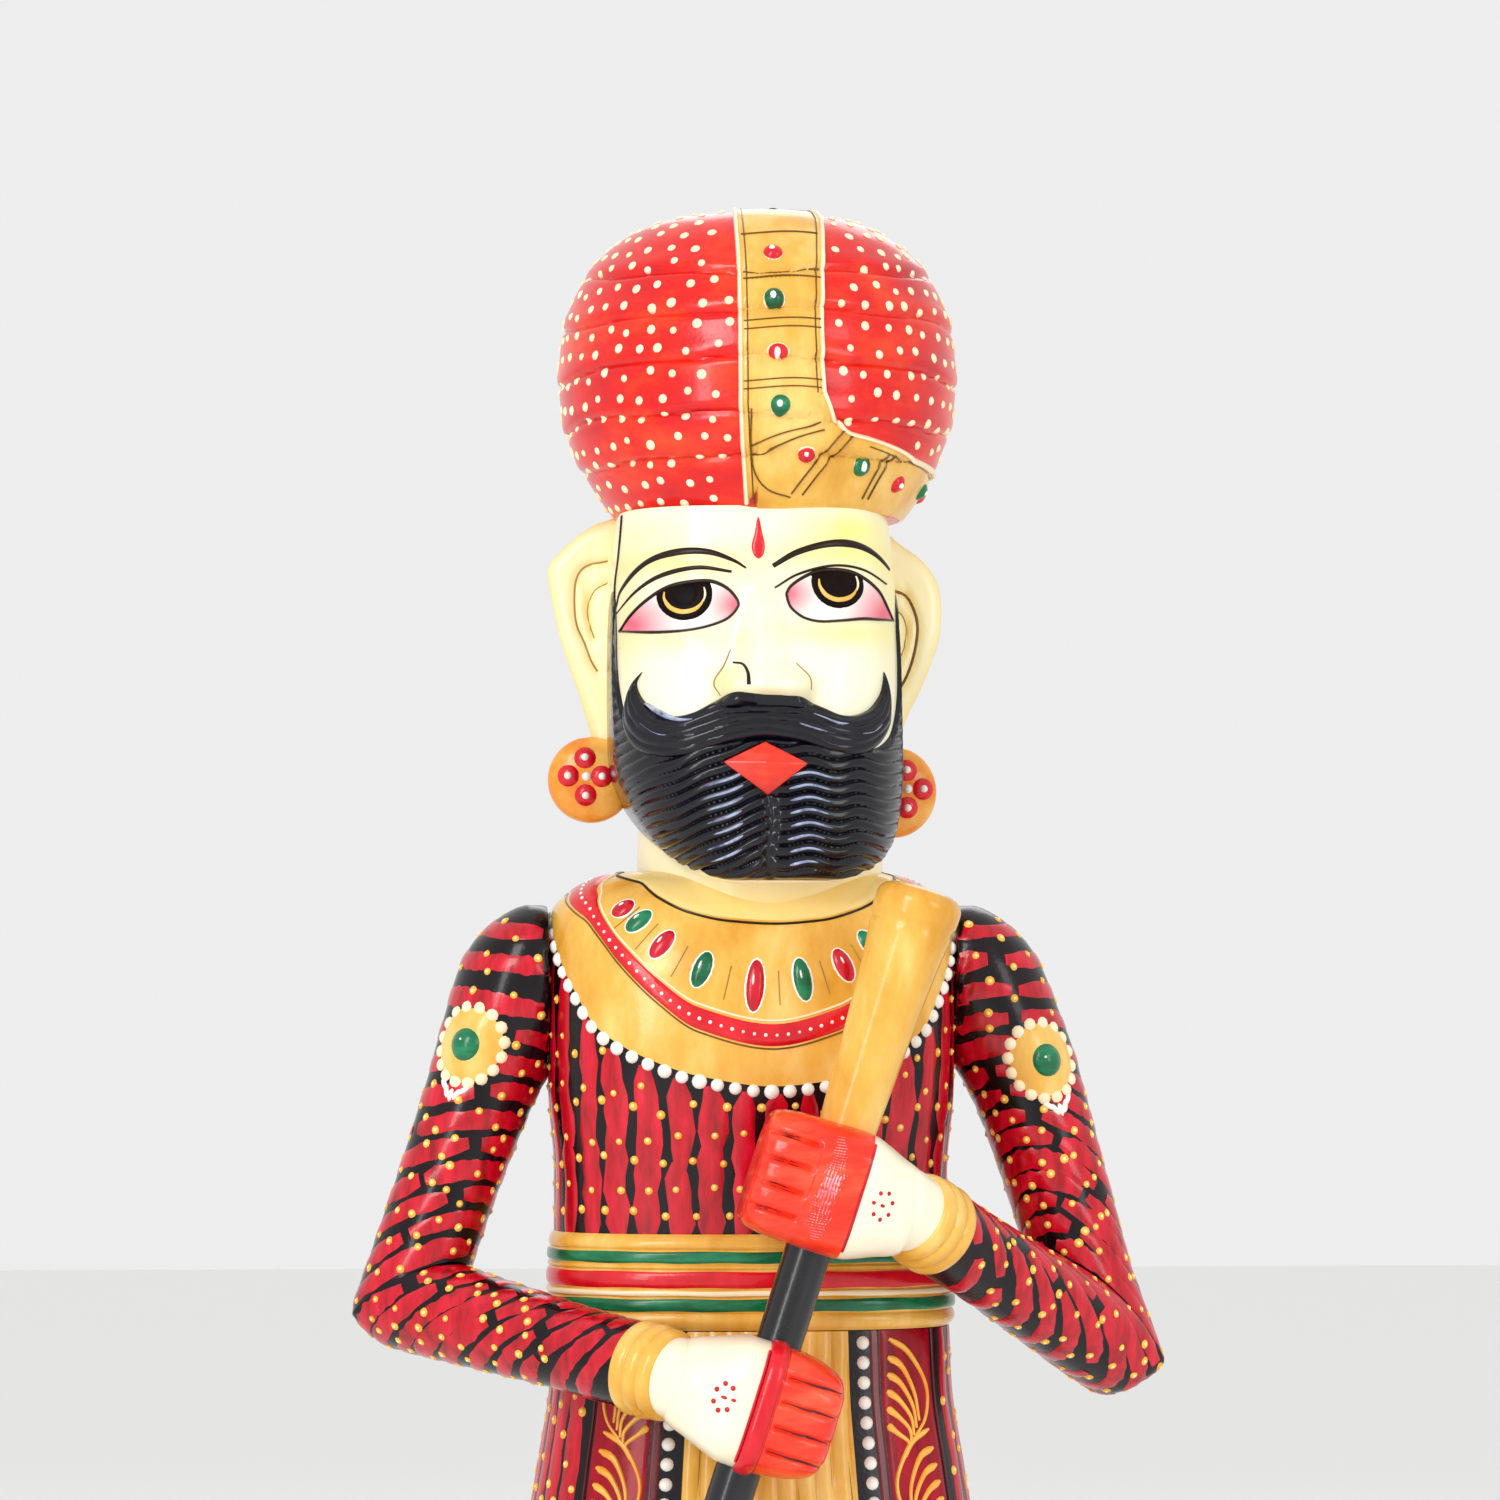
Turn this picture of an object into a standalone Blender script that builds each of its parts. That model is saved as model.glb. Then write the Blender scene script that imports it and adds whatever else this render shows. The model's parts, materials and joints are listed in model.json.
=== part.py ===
"""A carved and painted wooden guard figure from Rajasthan, 610 mm tall, holding a staff in both fists.

It is assembled from turned and carved blocks held by wooden dowels. The head turns on its neck
dowel, the two arms swing together on their shoulder dowels, and the staff pulls up and out of
the fists. All lengths are in metres. The figure faces -Y and "left" and "right" are its own.
"""

import math

import bmesh
import bpy
from mathutils import Matrix, Vector

# Overall
COLLECTION = "guard_figure"
GAP = 0.0003                      # clearance left between two neighbouring pieces
TOTAL_HEIGHT = 0.610

# Plinth, shoes and legs
PLINTH_SIZE = Vector((0.196, 0.168, 0.022))
PLINTH_EDGE = 0.003
LEG_X = 0.030
LEG_Y = 0.004
ANKLE_Z = 0.041
ANKLE_RADIUS = 0.0135
LEG_TOP_RADIUS = 0.0175
LEG_TENON = 0.014
SHOE_LENGTH = 0.082
SHOE_WIDTH = 0.032
SCREW_RADIUS = 0.0025
SCREW_HEAD_RADIUS = 0.005
SCREW_TOP = 0.066

# Body: heights of the hem, the belt and the shoulders
HEM_Z = 0.088
BELT_BOTTOM_Z = 0.2755
BELT_TOP_Z = 0.3035
SHOULDER_Z = 0.376
SHOULDER_X = 0.068
TORSO_SIDE_X = 0.0605
WAIST_DOWEL_RADIUS = 0.009

# Head and neck stand on one vertical axis
HEAD_X = 0.003
NECK_RADIUS = 0.0375
NECK_BOTTOM_Z = 0.388
NECK_TOP_Z = 0.413
NECK_DOWEL_RADIUS = 0.007
HEAD_TOP_Z = 0.519
EAR_Y = 0.008
EAR_THICKNESS = 0.0055
EARRING_RADIUS = 0.0111
EARRING_THICKNESS = 0.007

# Staff: it leans in the plane y = STAFF_Y and passes through the middle of both fists
STAFF_Y = -0.068
STAFF_TOP = Vector((0.0455, STAFF_Y, 0.4045))
STAFF_LEAN = math.radians(17.8)
SHAFT_RADIUS = 0.0067
STAFF_HEAD_LENGTH = 0.0675
STAFF_HEAD_BORE = 0.030
STAFF_DIRECTION = Vector((math.sin(STAFF_LEAN), 0, math.cos(STAFF_LEAN)))
HAND_DIRECTION = Vector((math.cos(STAFF_LEAN), 0, -math.sin(STAFF_LEAN)))

# Fists: height of each centre, and the block's size along the hand, through it and along the staff
FIST_Z = {"right": 0.256, "left": 0.318}
FIST_SIZE = Vector((0.053, 0.039, 0.040))
FIST_EDGE = 0.009
FIST_BORE_CLEARANCE = 0.0005

# Arms: the elbows are set apart by hand, as on the carved figure
ELBOW = {"right": Vector((-0.1023, -0.002, 0.2829)), "left": Vector((0.1062, -0.002, 0.2721))}
UPPER_ARM_RADII = (0.0195, 0.0160, 0.0147, 0.0147)
FOREARM_RADII = (0.0147, 0.0135, 0.0125, 0.0130)
ARM_DOWEL_RADIUS = 0.0042
SIDE_SIGN = {"right": -1, "left": 1}

# Cross-sections from the bottom up: height, half-width, depth to the front, depth to the back
TORSO_SECTIONS = (
    (BELT_TOP_Z + GAP, 0.0585, 0.0380, 0.0350),
    (0.322, 0.0585, 0.0400, 0.0360),
    (0.345, 0.0603, 0.0445, 0.0390),
    (0.365, TORSO_SIDE_X, 0.0460, 0.0400),
    (0.380, TORSO_SIDE_X, 0.0448, 0.0400),
    (0.389, TORSO_SIDE_X, 0.0420, 0.0395),
    (0.395, 0.0600, 0.0392, 0.0388),
    (0.400, 0.0580, 0.0362, 0.0378),
    (0.404, 0.0530, 0.0330, 0.0360),
    (0.407, 0.0470, 0.0300, 0.0340),
    (0.409, 0.0410, 0.0260, 0.0300),
)
SKIRT_SECTIONS = (
    (HEM_Z, 0.0880, 0.0575, 0.0560),
    (0.094, 0.0875, 0.0575, 0.0560),
    (0.150, 0.0775, 0.0520, 0.0500),
    (0.200, 0.0690, 0.0465, 0.0445),
    (0.235, 0.0632, 0.0430, 0.0405),
    (0.258, 0.0597, 0.0405, 0.0375),
    (BELT_BOTTOM_Z - GAP, 0.0590, 0.0390, 0.0360),
)
HEAD_SECTIONS = (
    (0.4075, 0.0190, 0.0480, -0.0290),
    (0.4110, 0.0315, 0.0515, 0.0100),
    (0.4165, 0.0370, 0.0530, 0.0340),
    (0.4250, 0.0405, 0.0535, 0.0400),
    (0.4400, 0.0430, 0.0530, 0.0425),
    (0.4550, 0.0440, 0.0510, 0.0435),
    (0.4700, 0.0440, 0.0480, 0.0440),
    (0.4900, 0.0440, 0.0455, 0.0450),
    (0.5080, 0.0440, 0.0435, 0.0450),
    (HEAD_TOP_Z - GAP, 0.0438, 0.0428, 0.0448),
)
TURBAN_PROFILE = (
    (0.0330, TOTAL_HEIGHT - 0.0030),
    (0.0440, 0.6000),
    (0.0515, 0.5910),
    (0.0568, 0.5800),
    (0.0594, 0.5680),
    (0.0600, 0.5560),
    (0.0583, 0.5440),
    (0.0545, 0.5350),
    (0.0495, 0.5270),
    (0.0440, HEAD_TOP_Z),
)


def clear_scene():
    for obj in list(bpy.data.objects):
        bpy.data.objects.remove(obj)


def make_collections():
    made = {}
    for name in (COLLECTION, "cutters"):
        made[name] = bpy.data.collections.new(name)
        bpy.context.scene.collection.children.link(made[name])
    return made[COLLECTION], made["cutters"]


def paint(name, colour, roughness, metallic=0.0):
    """A Principled material with one colour."""
    material = bpy.data.materials.new(name)
    material.use_nodes = True
    shader = material.node_tree.nodes["Principled BSDF"]
    shader.inputs["Base Color"].default_value = (*colour, 1.0)
    shader.inputs["Roughness"].default_value = roughness
    shader.inputs["Metallic"].default_value = metallic
    return material


def add_empty(name, location, direction=Vector((0, 0, 1))):
    """An empty on a joint's axis. The pieces that move with the joint are its children."""
    empty = bpy.data.objects.new(name, None)
    empty.empty_display_size = 0.03
    turn = Vector((0, 0, 1)).rotation_difference(direction).to_matrix().to_4x4()
    empty.matrix_world = Matrix.Translation(location) @ turn
    parts.objects.link(empty)
    return empty


def add_object(name, mesh, material, parent=None):
    """Puts a mesh that is already in place into the figure's collection."""
    obj = bpy.data.objects.new(name, mesh)
    mesh.materials.clear()
    mesh.materials.append(material)
    parts.objects.link(obj)
    mesh.shade_smooth()
    mesh.set_sharp_from_angle(angle=math.radians(40))
    if parent:
        obj.parent = parent
        obj.matrix_parent_inverse = parent.matrix_world.inverted()
    return obj


def mesh_from(bm, name):
    bmesh.ops.recalc_face_normals(bm, faces=bm.faces)
    mesh = bpy.data.meshes.new(name)
    bm.to_mesh(mesh)
    bm.free()
    return mesh


def superellipse(section, centre_x, power, count):
    """One closed ring of a carved block: a rounded rectangle that follows a power curve."""
    height, half_width, front, back = section
    centre_y = (back - front) / 2
    half_depth = (back + front) / 2
    ring = []
    for index in range(count):
        angle = 2 * math.pi * index / count
        across = math.copysign(abs(math.cos(angle)) ** (2 / power), math.cos(angle))
        along = math.copysign(abs(math.sin(angle)) ** (2 / power), math.sin(angle))
        ring.append(Vector((centre_x + half_width * across, centre_y + half_depth * along, height)))
    return ring


def loft_mesh(name, sections, centre_x=0.0, power=2.5, count=36):
    """A solid through a stack of rings, closed flat at both ends."""
    bm = bmesh.new()
    rings = [[bm.verts.new(p) for p in superellipse(s, centre_x, power, count)] for s in sections]
    for lower, upper in zip(rings, rings[1:]):
        for index in range(count):
            following = (index + 1) % count
            bm.faces.new((lower[index], lower[following], upper[following], upper[index]))
    bm.faces.new(rings[0])
    bm.faces.new(rings[-1])
    return mesh_from(bm, name)


def cylinder_mesh(name, start, end, radius, count=20):
    """A plain round bar between two points."""
    direction = end - start
    turn = Vector((0, 0, 1)).rotation_difference(direction).to_matrix().to_4x4()
    place = Matrix.Translation((start + end) / 2) @ turn
    bm = bmesh.new()
    bmesh.ops.create_cone(
        bm, cap_ends=True, segments=count, radius1=radius, radius2=radius,
        depth=direction.length, matrix=place,
    )
    return mesh_from(bm, name)


def cutter(name, mesh):
    """A solid that is only taken away from others."""
    obj = bpy.data.objects.new(name + "_cutter", mesh)
    obj.hide_render = True
    obj.display_type = "WIRE"
    cutters.objects.link(obj)
    return obj


def boolean(obj, tool, operation="DIFFERENCE"):
    modifier = obj.modifiers.new(tool.name, "BOOLEAN")
    modifier.operation = operation
    modifier.solver = "EXACT"
    modifier.object = tool
    return modifier


def drill(obj, start, end, radius, count=20):
    """Takes a round hole with the working clearance out of a piece."""
    name = f"{obj.name}_hole_{len(obj.modifiers)}"
    boolean(obj, cutter(name, cylinder_mesh(name, start, end, radius + GAP, count)))


def turned(name, profile, centre, material, parent=None, steps=40):
    """A lathe-turned piece: a closed profile of (radius, height) pairs swept about a vertical axis."""
    bm = bmesh.new()
    corners = [bm.verts.new((radius, 0, height)) for radius, height in profile]
    for first, second in zip(corners, corners[1:]):
        bm.edges.new((first, second))
    if profile[0][0] > 0:
        bm.edges.new((corners[-1], corners[0]))
    mesh = bpy.data.meshes.new(name)
    bm.to_mesh(mesh)
    bm.free()
    obj = bpy.data.objects.new(name, mesh)
    obj.location = centre
    parts.objects.link(obj)
    screw = obj.modifiers.new("turn", "SCREW")
    screw.axis = "Z"
    screw.angle = 2 * math.pi
    screw.steps = steps
    screw.render_steps = steps
    screw.use_merge_vertices = True
    screw.merge_threshold = 0.00005
    screw.use_smooth_shade = True
    mesh.materials.append(material)
    if parent:
        obj.parent = parent
        obj.matrix_parent_inverse = parent.matrix_world.inverted()
    return obj


def mesh_of_curve(curve_object):
    """The evaluated tube of a curve object as one closed mesh. The curve is removed."""
    graph = bpy.context.evaluated_depsgraph_get()
    mesh = bpy.data.meshes.new_from_object(curve_object.evaluated_get(graph))
    bm = bmesh.new()
    bm.from_mesh(mesh)
    bmesh.ops.remove_doubles(bm, verts=bm.verts, dist=0.00002)
    bmesh.ops.recalc_face_normals(bm, faces=bm.faces)
    bm.to_mesh(mesh)
    bm.free()
    mesh.transform(curve_object.matrix_world)
    bpy.data.objects.remove(curve_object)
    return mesh


def limb_mesh(name, points, radii):
    """A round tapering limb along a straight or gently bent line, with filled ends."""
    curve = bpy.data.curves.new(name, "CURVE")
    curve.dimensions = "3D"
    curve.bevel_depth = 1.0
    curve.bevel_resolution = 3
    curve.use_fill_caps = True
    spline = curve.splines.new("POLY")
    spline.points.add(len(points) - 1)
    for index, (point, radius) in enumerate(zip(points, radii)):
        spline.points[index].co = (*point, 1)
        spline.points[index].radius = radius
    obj = bpy.data.objects.new(name, curve)
    parts.objects.link(obj)
    return mesh_of_curve(obj)


def trim(mesh, point, normal):
    """Cuts a closed mesh with a plane, drops what lies on the normal's side and caps the cut."""
    bm = bmesh.new()
    bm.from_mesh(mesh)
    geometry = list(bm.verts) + list(bm.edges) + list(bm.faces)
    bmesh.ops.bisect_plane(
        bm, geom=geometry, plane_co=point, plane_no=normal, clear_outer=True, dist=0.000001
    )
    rim = [edge for edge in bm.edges if edge.is_boundary]
    bmesh.ops.edgeloop_fill(bm, edges=rim)
    bmesh.ops.recalc_face_normals(bm, faces=bm.faces)
    bm.to_mesh(mesh)
    bm.free()


def outline_plate_mesh(name, points, thickness, place):
    """A flat plate cut to a smooth closed outline, lying in its own XY plane before it is placed."""
    curve = bpy.data.curves.new(name, "CURVE")
    curve.dimensions = "2D"
    curve.fill_mode = "BOTH"
    curve.extrude = thickness / 2
    curve.resolution_u = 3
    spline = curve.splines.new("BEZIER")
    spline.bezier_points.add(len(points) - 1)
    for knot, (across, up) in zip(spline.bezier_points, points):
        knot.co = (across, up, 0)
        knot.handle_left_type = "AUTO"
        knot.handle_right_type = "AUTO"
    spline.use_cyclic_u = True
    obj = bpy.data.objects.new(name, curve)
    obj.matrix_world = place
    parts.objects.link(obj)
    bpy.context.view_layer.update()
    return mesh_of_curve(obj)


def make_plinth():
    bm = bmesh.new()
    place = Matrix.Translation((0, 0, PLINTH_SIZE.z / 2)) @ Matrix.Diagonal((*PLINTH_SIZE, 1))
    bmesh.ops.create_cube(bm, size=1, matrix=place)
    top_edges = [e for e in bm.edges if min(v.co.z for v in e.verts) > PLINTH_SIZE.z / 2]
    bmesh.ops.bevel(bm, geom=top_edges, offset=PLINTH_EDGE, segments=3, profile=0.5, affect="EDGES")
    plinth = add_object("base_plinth", mesh_from(bm, "base_plinth"), paints["plinth"])
    for x in (-LEG_X, LEG_X):
        drill(plinth, Vector((x, LEG_Y, -0.01)), Vector((x, LEG_Y, 0.03)), SCREW_RADIUS, 16)
        drill(plinth, Vector((x, LEG_Y, -0.01)), Vector((x, LEG_Y, 0.0065)), SCREW_HEAD_RADIUS, 16)


def make_screw(side):
    """A countersunk wood screw that holds a foot to the plinth."""
    profile = (
        (0, SCREW_TOP), (SCREW_RADIUS, SCREW_TOP - 0.006), (SCREW_RADIUS, 0.0060),
        (SCREW_HEAD_RADIUS, 0.0030), (SCREW_HEAD_RADIUS, 0.0015), (0, 0.0015),
    )
    place = Vector((SIDE_SIGN[side] * LEG_X, LEG_Y, 0))
    turned(f"base_screw_{side}", profile, place, paints["steel"], steps=16)


def make_shoe(side):
    """A pointed leather-style slipper with an upturned toe, as a closed loft along its length."""
    x = SIDE_SIGN[side] * LEG_X
    floor = PLINTH_SIZE.z + GAP
    heel_y = LEG_Y + 0.021
    stations = (
        (0.00, 0.55, 0.0000, 0.60), (0.06, 0.85, 0.0000, 0.96), (0.22, 0.96, 0.0000, 1.00),
        (0.42, 1.00, 0.0000, 1.00), (0.55, 1.00, 0.0000, 0.88), (0.72, 0.88, 0.0000, 0.66),
        (0.86, 0.55, 0.0010, 0.52), (0.95, 0.26, 0.0045, 0.62), (1.00, 0.12, 0.0090, 0.78),
    )
    height = ANKLE_Z - GAP - floor
    count = 16
    bm = bmesh.new()
    rings = []
    for along, width, lift, top in stations:
        y = heel_y - along * SHOE_LENGTH
        half = width * SHOE_WIDTH / 2
        low = floor + lift
        high = floor + max(top * height, lift + 0.003)
        ring = []
        for index in range(count):
            angle = 2 * math.pi * index / count
            across = math.copysign(abs(math.cos(angle)) ** 0.75, math.cos(angle))
            up = math.copysign(abs(math.sin(angle)) ** 0.60, math.sin(angle))
            middle = (low + high) / 2
            ring.append(bm.verts.new((x + half * across, y, middle + (high - low) / 2 * up)))
        rings.append(ring)
    for first, second in zip(rings, rings[1:]):
        for index in range(count):
            following = (index + 1) % count
            bm.faces.new((first[index], first[following], second[following], second[index]))
    bm.faces.new(rings[0])
    bm.faces.new(rings[-1])
    name = f"shoe_{side}"
    shoe = add_object(name, mesh_from(bm, name), paints["shoe"])
    drill(shoe, Vector((x, LEG_Y, 0.015)), Vector((x, LEG_Y, 0.05)), SCREW_RADIUS, 16)


def make_leg(side):
    x = SIDE_SIGN[side] * LEG_X
    top = HEM_Z + LEG_TENON
    profile = (
        (0, top), (LEG_TOP_RADIUS, top), (LEG_TOP_RADIUS, 0.084),
        (0.0160, 0.068), (ANKLE_RADIUS, 0.052), (ANKLE_RADIUS, ANKLE_Z), (0, ANKLE_Z),
    )
    leg = turned(f"leg_{side}", profile, Vector((x, LEG_Y, 0)), paints["trouser"], steps=24)
    drill(leg, Vector((x, LEG_Y, 0.03)), Vector((x, LEG_Y, SCREW_TOP)), SCREW_RADIUS, 16)


def make_skirt():
    skirt = add_object("coat_skirt", loft_mesh("coat_skirt", SKIRT_SECTIONS), paints["coat"])
    for sign in (-1, 1):
        start = Vector((sign * LEG_X, LEG_Y, HEM_Z - 0.02))
        drill(skirt, start, start + Vector((0, 0, 0.02 + LEG_TENON + GAP)), LEG_TOP_RADIUS, 24)
    drill(skirt, Vector((0, 0, 0.2497)), Vector((0, 0, 0.29)), WAIST_DOWEL_RADIUS)


def make_belt():
    sections = (
        (BELT_BOTTOM_Z, 0.0590, 0.0395, 0.0365),
        (BELT_BOTTOM_Z + 0.002, 0.0605, 0.0410, 0.0380),
        (BELT_TOP_Z - 0.002, 0.0605, 0.0405, 0.0375),
        (BELT_TOP_Z, 0.0590, 0.0390, 0.0360),
    )
    belt = add_object("waist_belt", loft_mesh("waist_belt", sections), paints["belt"])
    drill(belt, Vector((0, 0, 0.26)), Vector((0, 0, 0.32)), WAIST_DOWEL_RADIUS)


def make_torso():
    torso = add_object("torso", loft_mesh("torso", TORSO_SECTIONS), paints["coat"])
    drill(torso, Vector((0, 0, 0.29)), Vector((0, 0, 0.3303)), WAIST_DOWEL_RADIUS)
    top = Vector((HEAD_X, 0, 0.43))
    drill(torso, Vector((HEAD_X, 0, NECK_BOTTOM_Z)), top, NECK_RADIUS, 48)
    drill(torso, Vector((HEAD_X, 0, 0.3597)), top, NECK_DOWEL_RADIUS)
    for sign in (-1, 1):
        outside = Vector((sign * 0.07, 0, SHOULDER_Z))
        drill(torso, Vector((sign * 0.0437, 0, SHOULDER_Z)), outside, ARM_DOWEL_RADIUS)


def make_body_dowels():
    waist = cylinder_mesh("waist_dowel", Vector((0, 0, 0.250)), Vector((0, 0, 0.330)), WAIST_DOWEL_RADIUS)
    add_object("waist_dowel", waist, paints["dowel"])


def make_neck():
    hole = NECK_DOWEL_RADIUS + GAP
    top = NECK_TOP_Z - GAP
    bottom = NECK_BOTTOM_Z + GAP
    profile = ((hole, top), (NECK_RADIUS, top), (NECK_RADIUS, bottom), (hole, bottom))
    turned("neck", profile, Vector((HEAD_X, 0, 0)), paints["gold"], head_axis, steps=48)
    bar = cylinder_mesh(
        "neck_dowel", Vector((HEAD_X, 0, 0.360)), Vector((HEAD_X, 0, 0.438)), NECK_DOWEL_RADIUS
    )
    add_object("neck_dowel", bar, paints["dowel"], head_axis)


def nose_mesh():
    """A wedge nose: narrow between the brows, widest at the nostrils."""
    rows = (
        (0.4930, 0.0022, 0.0450), (0.4800, 0.0035, 0.0500), (0.4680, 0.0060, 0.0552),
        (0.4625, 0.0078, 0.0562), (0.4600, 0.0070, 0.0535),
    )
    bm = bmesh.new()
    rings = []
    for height, half, reach in rows:
        left = bm.verts.new((HEAD_X + half, -0.040, height))
        ridge_left = bm.verts.new((HEAD_X + half * 0.45, -reach, height))
        ridge_right = bm.verts.new((HEAD_X - half * 0.45, -reach, height))
        right = bm.verts.new((HEAD_X - half, -0.040, height))
        rings.append((left, ridge_left, ridge_right, right))
    for first, second in zip(rings, rings[1:]):
        for index in range(4):
            following = (index + 1) % 4
            bm.faces.new((first[index], first[following], second[following], second[index]))
    bm.faces.new(rings[0])
    bm.faces.new(rings[-1])
    return mesh_from(bm, "nose")


def make_head():
    mesh = loft_mesh("head", HEAD_SECTIONS, HEAD_X, power=2.7, count=40)
    head = add_object("head", mesh, paints["face"], head_axis)
    boolean(head, cutter("nose", nose_mesh()), "UNION")
    axis_low = Vector((HEAD_X, 0, 0.39))
    drill(head, axis_low, Vector((HEAD_X, 0, NECK_TOP_Z)), NECK_RADIUS + 0.0004, 48)
    drill(head, axis_low, Vector((HEAD_X, 0, 0.4383)), NECK_DOWEL_RADIUS)
    drill(head, Vector((HEAD_X, 0, 0.4997)), Vector((HEAD_X, 0, 0.53)), NECK_DOWEL_RADIUS)


def make_turban():
    profile = ((0, TOTAL_HEIGHT), (0.020, TOTAL_HEIGHT - 0.0003)) + TURBAN_PROFILE + ((0, HEAD_TOP_Z),)
    turban = turned("turban", profile, Vector((HEAD_X, 0, 0)), paints["turban"], head_axis, steps=40)
    low = Vector((HEAD_X, 0, 0.50))
    drill(turban, low, Vector((HEAD_X, 0, 0.5453)), NECK_DOWEL_RADIUS)
    bar = cylinder_mesh("turban_dowel", low, Vector((HEAD_X, 0, 0.545)), NECK_DOWEL_RADIUS)
    add_object("turban_dowel", bar, paints["dowel"], head_axis)


def make_ear(side):
    """A flat carved ear. The right one stands out a little further than the left."""
    sign = SIDE_SIGN[side]
    reach = {"right": 0.0185, "left": 0.0130}[side]
    outline = (
        (0.00, 0.5165), (0.30, 0.5155), (0.72, 0.5095), (0.97, 0.5010), (1.00, 0.4920),
        (0.88, 0.4830), (0.70, 0.4720), (0.50, 0.4600), (0.36, 0.4515), (0.00, 0.4510),
    )
    inner = 0.0440 + 0.0005
    points = [(HEAD_X + sign * (inner + out * reach), height) for out, height in outline]
    upright = Matrix.Translation((0, EAR_Y, 0)) @ Matrix.Rotation(math.pi / 2, 4, "X")
    name = f"ear_{side}"
    mesh = outline_plate_mesh(name, points, EAR_THICKNESS, upright)
    trim(mesh, Vector((HEAD_X + sign * inner, 0, 0)), Vector((-sign, 0, 0)))
    add_object(name, mesh, paints["face"], head_axis)


def make_earring(side):
    """A disc earring below the ear. The left one sits deeper, so its inner edge is cut away."""
    sign = SIDE_SIGN[side]
    centre_x = {"right": -0.0517, "left": 0.0500}[side]
    centre_z = {"right": 0.4385, "left": 0.4360}[side]
    half = Vector((0, EARRING_THICKNESS / 2, 0))
    centre = Vector((centre_x, 0.004, centre_z))
    name = f"earring_{side}"
    mesh = cylinder_mesh(name, centre - half, centre + half, EARRING_RADIUS, 32)
    bm = bmesh.new()
    bm.from_mesh(mesh)
    rim = [e for e in bm.edges if len(e.link_faces) == 2 and e.calc_face_angle() > 1]
    bmesh.ops.bevel(bm, geom=rim, offset=0.0015, segments=2, profile=0.5, affect="EDGES")
    bm.to_mesh(mesh)
    bm.free()
    head_side = HEAD_X + sign * (0.0430 + 0.0006)
    trim(mesh, Vector((head_side, 0, 0)), Vector((-sign, 0, 0)))
    add_object(name, mesh, paints["earring"], head_axis)


def staff_point(height):
    """The point of the staff's axis at a height above the table."""
    return STAFF_TOP + STAFF_DIRECTION * ((height - STAFF_TOP.z) / STAFF_DIRECTION.z)


def wrist_point(side):
    """Where a forearm meets its fist, slightly behind the middle of the fist's end face."""
    sign = SIDE_SIGN[side]
    end = staff_point(FIST_Z[side]) + HAND_DIRECTION * sign * (FIST_SIZE.x / 2)
    return end + Vector((0, 0.004, 0))


def make_fist(side, arm_axis):
    """A closed fist: a rounded block with a slanting bore for the staff."""
    centre = staff_point(FIST_Z[side])
    name = f"fist_{side}"
    bm = bmesh.new()
    bmesh.ops.create_cube(bm, size=1, matrix=Matrix.Diagonal((*FIST_SIZE, 1)))
    bmesh.ops.bevel(bm, geom=list(bm.edges), offset=FIST_EDGE, segments=3, profile=0.5, affect="EDGES")
    place = Matrix.Translation(centre) @ Matrix.Rotation(STAFF_LEAN, 4, "Y")
    bmesh.ops.transform(bm, matrix=place, verts=bm.verts)
    fist = add_object(name, mesh_from(bm, name), paints["hand"], arm_axis)
    reach = STAFF_DIRECTION * 0.04
    drill(fist, centre - reach, centre + reach, SHAFT_RADIUS + FIST_BORE_CLEARANCE, 28)
    wrist, along = wrist_point(side), forearm_direction(side)
    drill(fist, wrist - along * 0.02, wrist + along * 0.0103, ARM_DOWEL_RADIUS)


def forearm_direction(side):
    return (wrist_point(side) - ELBOW[side]).normalized()


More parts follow.
